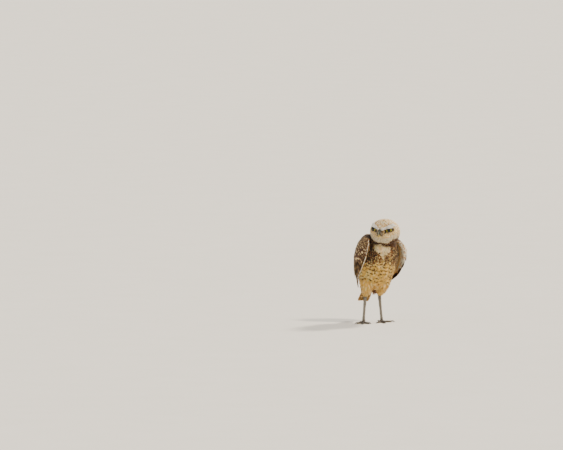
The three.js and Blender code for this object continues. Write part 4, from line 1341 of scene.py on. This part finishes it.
# Legs and claws.
def make_leg(side, rng):
    """Scaly bare skin over shank, foot and toes, with sparse bristles, and dark claws."""
    nodes = [f"shank_{side}", f"foot_{side}"] + [f"toe_{side}_{i}" for i in range(1, 5)]
    leg = smooth_copy(f"leg_skin_{side}", nodes, 0.4, 0.15, 5)
    points = read_points(leg.data)
    points[:, 2] = np.maximum(points[:, 2], 0)
    write_points(leg.data, points)
    ankle = middle(f"foot_{side}")
    flat = np.hypot(points[:, 0] - ankle.x, points[:, 1] - ankle.y)
    store(leg.data, "Along", "FLOAT", np.where(points[:, 2] > 7, points[:, 2], 7 - flat))
    store(leg.data, "Toe", "FLOAT", ramp(points[:, 2], 14, 5))
    store(leg.data, "Sole", "FLOAT", ramp(points[:, 2], 1.6, 0.6))
    finished(leg, LEG_FINISH, "leg_skin", *nodes)
    surface = Surface(leg.data)
    roots = surface.scatter(rng, 1700)
    roots = roots[roots[:, 2] > 1.8]
    place, normal = surface.nearest(roots)
    down = np.where((roots[:, 2] > 8)[:, None], (0, 0.1, -1.0), unit((roots - ankle) * (1, 1, 0)))
    down = unit(down - dot(down, normal) * normal + 0.15 * rng.standard_normal(down.shape))
    around = np.arctan2(place[:, 0] - ankle.x, place[:, 1] - ankle.y) / math.tau
    bristles(f"leg_bristles_{side}", "leg_feathers", place - normal * 0.1, unit(down + normal * 0.22),
             normal * -0.1, (2.6, 3.8), 0.62, (0x8C8272, 0x6A6052),
             np.column_stack([around, place[:, 2] / 60]), rng)
    for i in range(1, 5):
        name = f"claw_{side}_{i}"
        finished(smooth_copy(f"horn_{name}", [name], 0.16, 0.1, 6), CLAW_FINISH, "claw", name)


# Feather materials. Real barbs stand about 0.25 mm apart. That is too fine to show, so their ribs are drawn
# three to six times as coarse.
BARB_GAP = {"contour": 0.85, "covert": 1.1, "flight": 1.6}
FEATHER_LENGTH = {"contour": 12, "covert": 20, "flight": 95}
BLOTCH = 2.4  # grain that makes spots ragged
BAR_GRAIN = 3.3  # grain that makes bars ragged
SCUTE = 2.0  # height of a scute on the shank


def near(tree, value, centre, half, soft):
    """1 where a value is within half of a centre, and 0 past the soft edge."""
    away = node(tree, "Math", value, centre, operation="SUBTRACT")
    far = node(tree, "Math", away, operation="ABSOLUTE")
    return node(tree, "MapRange", far, half + soft, half, 0, 1, interpolation_type="SMOOTHSTEP")


def vane_place(tree):
    """Across the vane from 0 to 1, and along it from root to tip."""
    return node(tree, "SeparateXYZ", node(tree, "UVMap", uv_map="Vane")).node.outputs[:2]


def plumed(tree, pattern, kind, roughness=0.82):
    """Feather keratin: matt and soft, with a fine rib of barbs, a darker root and a weak grazing sheen."""
    from_side, along = vane_place(tree)
    across = node(tree, "Math", from_side, 2, -1, operation="MULTIPLY_ADD")
    across = node(tree, "Math", across, operation="ABSOLUTE")
    tone, mark, values = (node(tree, "Attribute", attribute_name=name) for name in ("Tone", "Mark", "Kind"))
    parts = node(tree, "SeparateColor", values).node.outputs
    amount = pattern(tree, across, along, (*parts[:3], values.node.outputs["Alpha"]))
    coloured = node(tree, "Mix", {0: amount, 6: tone, 7: mark}, output=2, data_type="RGBA")
    barbs = FEATHER_LENGTH[kind] / BARB_GAP[kind]
    ribs = node(tree, "Math", along, barbs, operation="MULTIPLY")
    ribs = node(tree, "Math", across, -barbs * 0.3, ribs, operation="MULTIPLY_ADD")
    ribs = node(tree, "Math", ribs, math.tau, operation="MULTIPLY")
    ribs = node(tree, "Math", ribs, operation="SINE")
    shade = node(tree, "Math", ribs, 0.05, 1.0, operation="MULTIPLY_ADD")
    for ends in ((0.1, 0.75, 0.62, 1.0), (0.88, 1.0, 1.0, 1.16)):  # the darker root and the lighter tip
        shade = node(tree, "Math", shade, node(tree, "MapRange", along, *ends), operation="MULTIPLY")
    shaded = node(
        tree, "Mix", {0: 1.0, 6: coloured, 7: shade}, output=2, data_type="RGBA", blend_type="MULTIPLY")
    bump = node(tree, "Bump", {"Strength": 0.35, "Distance": 0.1 * MM, "Height": ribs})
    return node(tree, "BsdfPrincipled", {
        "Base Color": shaded, "Roughness": roughness, "Normal": bump, "Specular IOR Level": 0.25,
        "Sheen Weight": 0.15, "Sheen Roughness": 0.5})


def ragged_spot(tree, across, along, place, half, size):
    """1 inside an oval spot with a ragged edge and 0 outside. A size of 0 leaves it out."""
    at = node(tree, "TexCoord", output="Object")
    grain = node(tree, "TexNoise", {"Vector": at, "Scale": scale_for(BLOTCH), "Detail": 2})
    grain = node(tree, "Math", grain, 3.0, -0.5, operation="MULTIPLY_ADD")
    size = node(tree, "Math", size, grain, operation="MULTIPLY")
    squares = []
    for value, centre, reach in zip((across, along), place, half):
        off = node(tree, "Math", value, centre, operation="SUBTRACT")
        off = node(tree, "Math", off, reach, operation="DIVIDE")
        squares.append(node(tree, "Math", off, off, operation="MULTIPLY"))
    far = node(tree, "Math", *squares, operation="ADD")
    far = node(tree, "Math", far, operation="SQRT")
    far = node(tree, "Math", far, size, operation="SUBTRACT")
    inside = node(tree, "MapRange", far, 0.15, -0.25, 0.0, 1.0, interpolation_type="SMOOTHSTEP")
    shown = node(tree, "Math", size, 0.2, operation="GREATER_THAN")
    return node(tree, "Math", inside, shown, operation="MULTIPLY")


def body_pattern(tree, across, along, kinds):
    """One dark bar across barred feathers, bowed down at the shaft, and the spots of spotted ones."""
    bowed = node(tree, "Math", across, across, operation="MULTIPLY")
    bowed = node(tree, "Math", bowed, 0.2, along, operation="MULTIPLY_ADD")
    bowed = node(tree, "Math", bowed, kinds[3], operation="SUBTRACT")
    bar = near(tree, bowed, 0.03, 0.075, 0.05)
    bar = node(tree, "Math", bar, near(tree, across, 0.0, 0.72, 0.2), operation="MULTIPLY")
    bar = node(tree, "Math", bar, kinds[0], operation="MULTIPLY")
    pair = ragged_spot(tree, across, along, (0.46, 0.84), (0.33, 0.11), kinds[1])
    single = ragged_spot(tree, across, along, (0.0, 0.84), (0.36, 0.15), kinds[2])
    spots = node(tree, "Math", pair, single, operation="MAXIMUM")
    return node(tree, "Math", bar, spots, operation="MAXIMUM")


def flight_pattern(tree, across, along, kinds):
    """Pale bars across long feathers, as many as the feather's own number says, a pale tip and outer edge."""
    at = node(tree, "TexCoord", output="Object")
    grain = node(tree, "TexNoise", {"Vector": at, "Scale": scale_for(BAR_GRAIN), "Detail": 3})
    run = node(tree, "Math", grain, 0.07, along, operation="MULTIPLY_ADD")
    run = node(tree, "Math", across, -0.03, run, operation="MULTIPLY_ADD")
    wave = node(tree, "Math", run, kinds[0], kinds[1], operation="MULTIPLY_ADD")
    wave = near(tree, node(tree, "Math", wave, operation="FRACT"), 0.5, 0.07, 0.13)
    bars = node(tree, "Math", wave, near(tree, across, 0.7, 0.3, 0.35), operation="MULTIPLY")
    to_front = node(tree, "Math", 1.0, kinds[3], operation="SUBTRACT")
    to_front = node(tree, "Math", vane_place(tree)[0], to_front, operation="SUBTRACT")
    to_front = node(tree, "Math", to_front, operation="ABSOLUTE")
    margin = node(tree, "Math", near(tree, to_front, 1.0, 0.05, 0.06), 0.75, operation="MULTIPLY")
    pale = node(tree, "Math", bars, margin, operation="MAXIMUM")
    return node(tree, "Math", pale, near(tree, along, 1.0, 0.015, 0.02), operation="MAXIMUM")


def covert_pattern(tree, across, along, kinds):
    """Two pairs of spots, the larger near the tip, with a thin pale fringe round the tip."""
    fringe = node(tree, "Math", near(tree, along, 1.0, 0.012, 0.03), 0.45, operation="MULTIPLY")
    low = node(tree, "Math", kinds[0], -0.12, 0.9, operation="MULTIPLY_ADD")
    high = node(tree, "Math", low, 0.24, operation="SUBTRACT")
    tip = ragged_spot(tree, across, along, (0.5, low), (0.3, 0.055), kinds[1])
    upper = ragged_spot(tree, across, along, (0.56, high), (0.26, 0.045), kinds[2])
    spots = node(tree, "Math", tip, upper, operation="MAXIMUM")
    return node(tree, "Math", fringe, spots, operation="MAXIMUM")


# Materials of eyes, bill, legs and bare skin.
def wet_eye(tree):
    """Cornea and iris: black pupil, yellow iris with a dark rim, and a clear wet coat with a sharp glint."""
    widest = 60  # degrees from the gaze where the rings end
    gaze = node(tree, "Attribute", output="Fac", attribute_name="Gaze")
    rings = node(tree, "ValToRGB", node(tree, "Math", gaze, widest, operation="DIVIDE"))
    pupil, iris = (math.degrees(math.asin(EYE[part] / EYE["radius"])) / widest for part in ("pupil", "iris"))
    stops = rings.node.color_ramp.elements
    stops[0].position, stops[0].color = pupil, linear(0x050403)
    stops[1].position, stops[1].color = iris + 0.03, linear(0x120C06)
    for position, colour in (
        (pupil + 0.03, 0x5E5410), (pupil + 0.13, 0x968A1E), (iris - 0.08, 0xA89A26), (iris, 0x463A10),
    ):
        stops.new(position).color = linear(colour)
    return node(tree, "BsdfPrincipled", {
        "Base Color": rings, "Roughness": 0.4, "Specular IOR Level": 0.0, "Coat Weight": 0.6,
        "Coat Roughness": 0.02})


def lid_skin(tree):
    """Bare lid edge: dark, slightly moist skin with a fine grain."""
    at = node(tree, "TexCoord", output="Object")
    grain = node(tree, "TexNoise", {"Vector": at, "Scale": scale_for(0.4), "Detail": 3})
    bump = node(tree, "Bump", {"Strength": 0.4, "Distance": 0.2 * MM, "Height": grain})
    return node(tree, "BsdfPrincipled", {"Base Color": linear(0x1E140D), "Roughness": 0.55, "Normal": bump})


def bill_horn(tree):
    """Worn horn: dark grey-green with a yellowish tip and a low gloss, a painted highlight along the ridge
    and painted shade in the nostril pits.
    """
    colour, grain = mottled(tree, 1.1, 4, 0x1F1D17, 0x36342A)
    # A painted highlight on the ridge, the yellowish tip, and painted shade in the nostril pits.
    colour = touched(tree, colour, {"RidgeHighlight": 0xA5A48C, "Down": 0xBFA23C, "PitShade": 0x0C0A08})
    bump = node(tree, "Bump", {"Strength": 0.2, "Distance": 0.2 * MM, "Height": grain})
    return node(tree, "BsdfPrincipled", {
        "Base Color": colour, "Roughness": 0.55, "Normal": bump, "Specular IOR Level": 0.35})


def leg_scales(tree):
    """Dry scaly skin: rings of scutes, with dark joints between them, and darker toes with pale soles."""
    at = node(tree, "TexCoord", output="Object")
    along = node(tree, "Attribute", output="Fac", attribute_name="Along")
    rings = node(tree, "Math", along, math.tau / SCUTE, operation="MULTIPLY")
    rings = node(tree, "Math", rings, operation="SINE")
    cells = node(tree, "TexVoronoi", {"Vector": at, "Scale": scale_for(1.1)})
    height = node(tree, "Math", rings, 0.5, cells, operation="MULTIPLY_ADD")
    tones = {0: cells, 6: linear(0x8C8577), 7: linear(0x615B50)}
    colour = touched(
        tree, node(tree, "Mix", tones, output=2, data_type="RGBA"), {"Toe": 0x352C24, "Sole": 0x9A8C6C})
    bump = node(tree, "Bump", {"Strength": 0.6, "Distance": 0.25 * MM, "Height": height})
    return node(tree, "BsdfPrincipled", {"Base Color": colour, "Roughness": 0.62, "Normal": bump})


def claw_horn(tree):
    """Smooth dark horn with a soft gloss and a faint mottle."""
    colour, _ = mottled(tree, 0.8, 3, 0x17120F, 0x2A231D)
    return node(tree, "BsdfPrincipled", {"Base Color": colour, "Roughness": 0.32, "Coat Weight": 0.3})


def arm_skin(tree):
    """Downy skin of the wing's arm: dull, mottled and only seen between feathers."""
    colour, _ = mottled(tree, 2, 3, 0x4E3B24, 0x705A3A)
    return node(tree, "BsdfPrincipled", {"Base Color": colour, "Roughness": 0.95})


# The coat of head and body.
COATS = (  # name, styles, shape and slot
    ("face_feathers", ("rim", "disc", "cheek", "lore", "brow"), "fine", "head_feathers"),
    ("throat_feathers", ("throat", "collar"), "small", "head_feathers"),
    ("crown_feathers", ("crown", "nape"), "small", "head_feathers"),
    ("breast_feathers", ("breast", "bib"), "soft", "body_feathers"),
    ("belly_feathers", ("belly", "vent", "flank", "dusk"), "soft", "body_feathers"),
    ("back_feathers", ("back",), "soft", "body_feathers"),
    ("thigh_feathers", ("thigh",), "small", "leg_feathers"),
)


def roots_on(hide, rng):
    """Roots of the coat, with a gap that follows the feathers' width, and the strongest style of each."""
    spread = hide.scatter(rng, 700000)
    _, way, skull, headed = on_head(spread)
    keep = np.where(~headed, 0.17, np.where(way[:, 1] > -0.05, 0.5, 1.0))
    spread = spread[(skull > 0.82) & (rng.random(len(spread)) < keep)]
    groups = []
    for on_top, cell in ((True, 0.7), (False, 2.0)):
        part = spread[on_head(spread)[3] == on_top]
        shares, _ = plumage(part)
        kept = thinned(part, (shares @ STYLE_SIZES)[:, 1] * 0.44, cell)
        groups.append((part[kept], shares[kept]))
    roots, shares = (np.concatenate(v) for v in zip(*groups))
    free = clear_of(roots, hide.nearest(roots)[1])
    return roots[free], np.array(list(STYLES))[shares.argmax(1)][free]


def clear_of(points, normals):
    """True for roots that aren't under a wing, in an eye's opening or under the bill."""
    wings = []
    for side in SIDES:
        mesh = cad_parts[f"wing_{side}"].data
        corners = [tuple(v.co / MM) for v in mesh.vertices]
        wings.append(BVHTree.FromPolygons(corners, [tuple(p.vertices) for p in mesh.polygons]))
    pairs = zip(points.tolist(), normals.tolist())
    free = np.array([not any(w.ray_cast(p, n, 6)[0] is not None for w in wings) for p, n in pairs])
    for sign in SIDES.values():
        x, y, z = moved(points, eye_pose(sign).inverted()).T
        free &= ~((y < 0) & (in_opening(x, z, 2.8, 3.6) < 1))
    x, y, z = moved(points, HEAD.inverted()).T
    return free & ~((np.abs(x) < np.where(z > 0, 3.6, 2.8)) & (y < -20) & (z > -5.5) & (z < 8.0))


def make_coat(hide, rng):
    roots, strongest = roots_on(hide, rng)
    shapes = {
        "soft": [fingered_shape(9, 4, rng) for _ in range(8)],
        "small": [fingered_shape(4, 3, rng) for _ in range(6)],
        "fine": [fingered_shape(2, 3, rng, 0.2) for _ in range(4)],
    }
    for name, styles, shape, slot in COATS:
        coat(name, slot, hide, roots[np.isin(strongest, styles)], shapes[shape], rng)
    face_bristles(hide, rng)
    vent_plumes(hide, rng)


set_camera()
set_stage()
BODY_PLUMES = material("contour feathers", lambda tree: plumed(tree, body_pattern, "contour"))
COVERT_PLUMES = material("wing coverts", lambda tree: plumed(tree, covert_pattern, "covert"))
FLIGHT_PLUMES = material("flight feathers", lambda tree: plumed(tree, flight_pattern, "flight", 0.7))
PLAIN_SKIN = material("downy wing skin", arm_skin)
EYE_FINISH = material("wet eye", wet_eye)
LID_FINISH = material("bare lid skin", lid_skin)
BILL_FINISH = material("bill horn", bill_horn)
LEG_FINISH = material("scaly leg skin", leg_scales)
CLAW_FINISH = material("claw horn", claw_horn)

rng = np.random.default_rng(SEED)
make_coat(make_skin(), rng)
for side in SIDES:
    make_wing(side, rng)
    make_eye(side)
    make_lids(side, rng)
    make_leg(side, rng)
make_tail(rng)
make_bill("bill_top", "upper")
make_bill("bill_bottom", "lower")
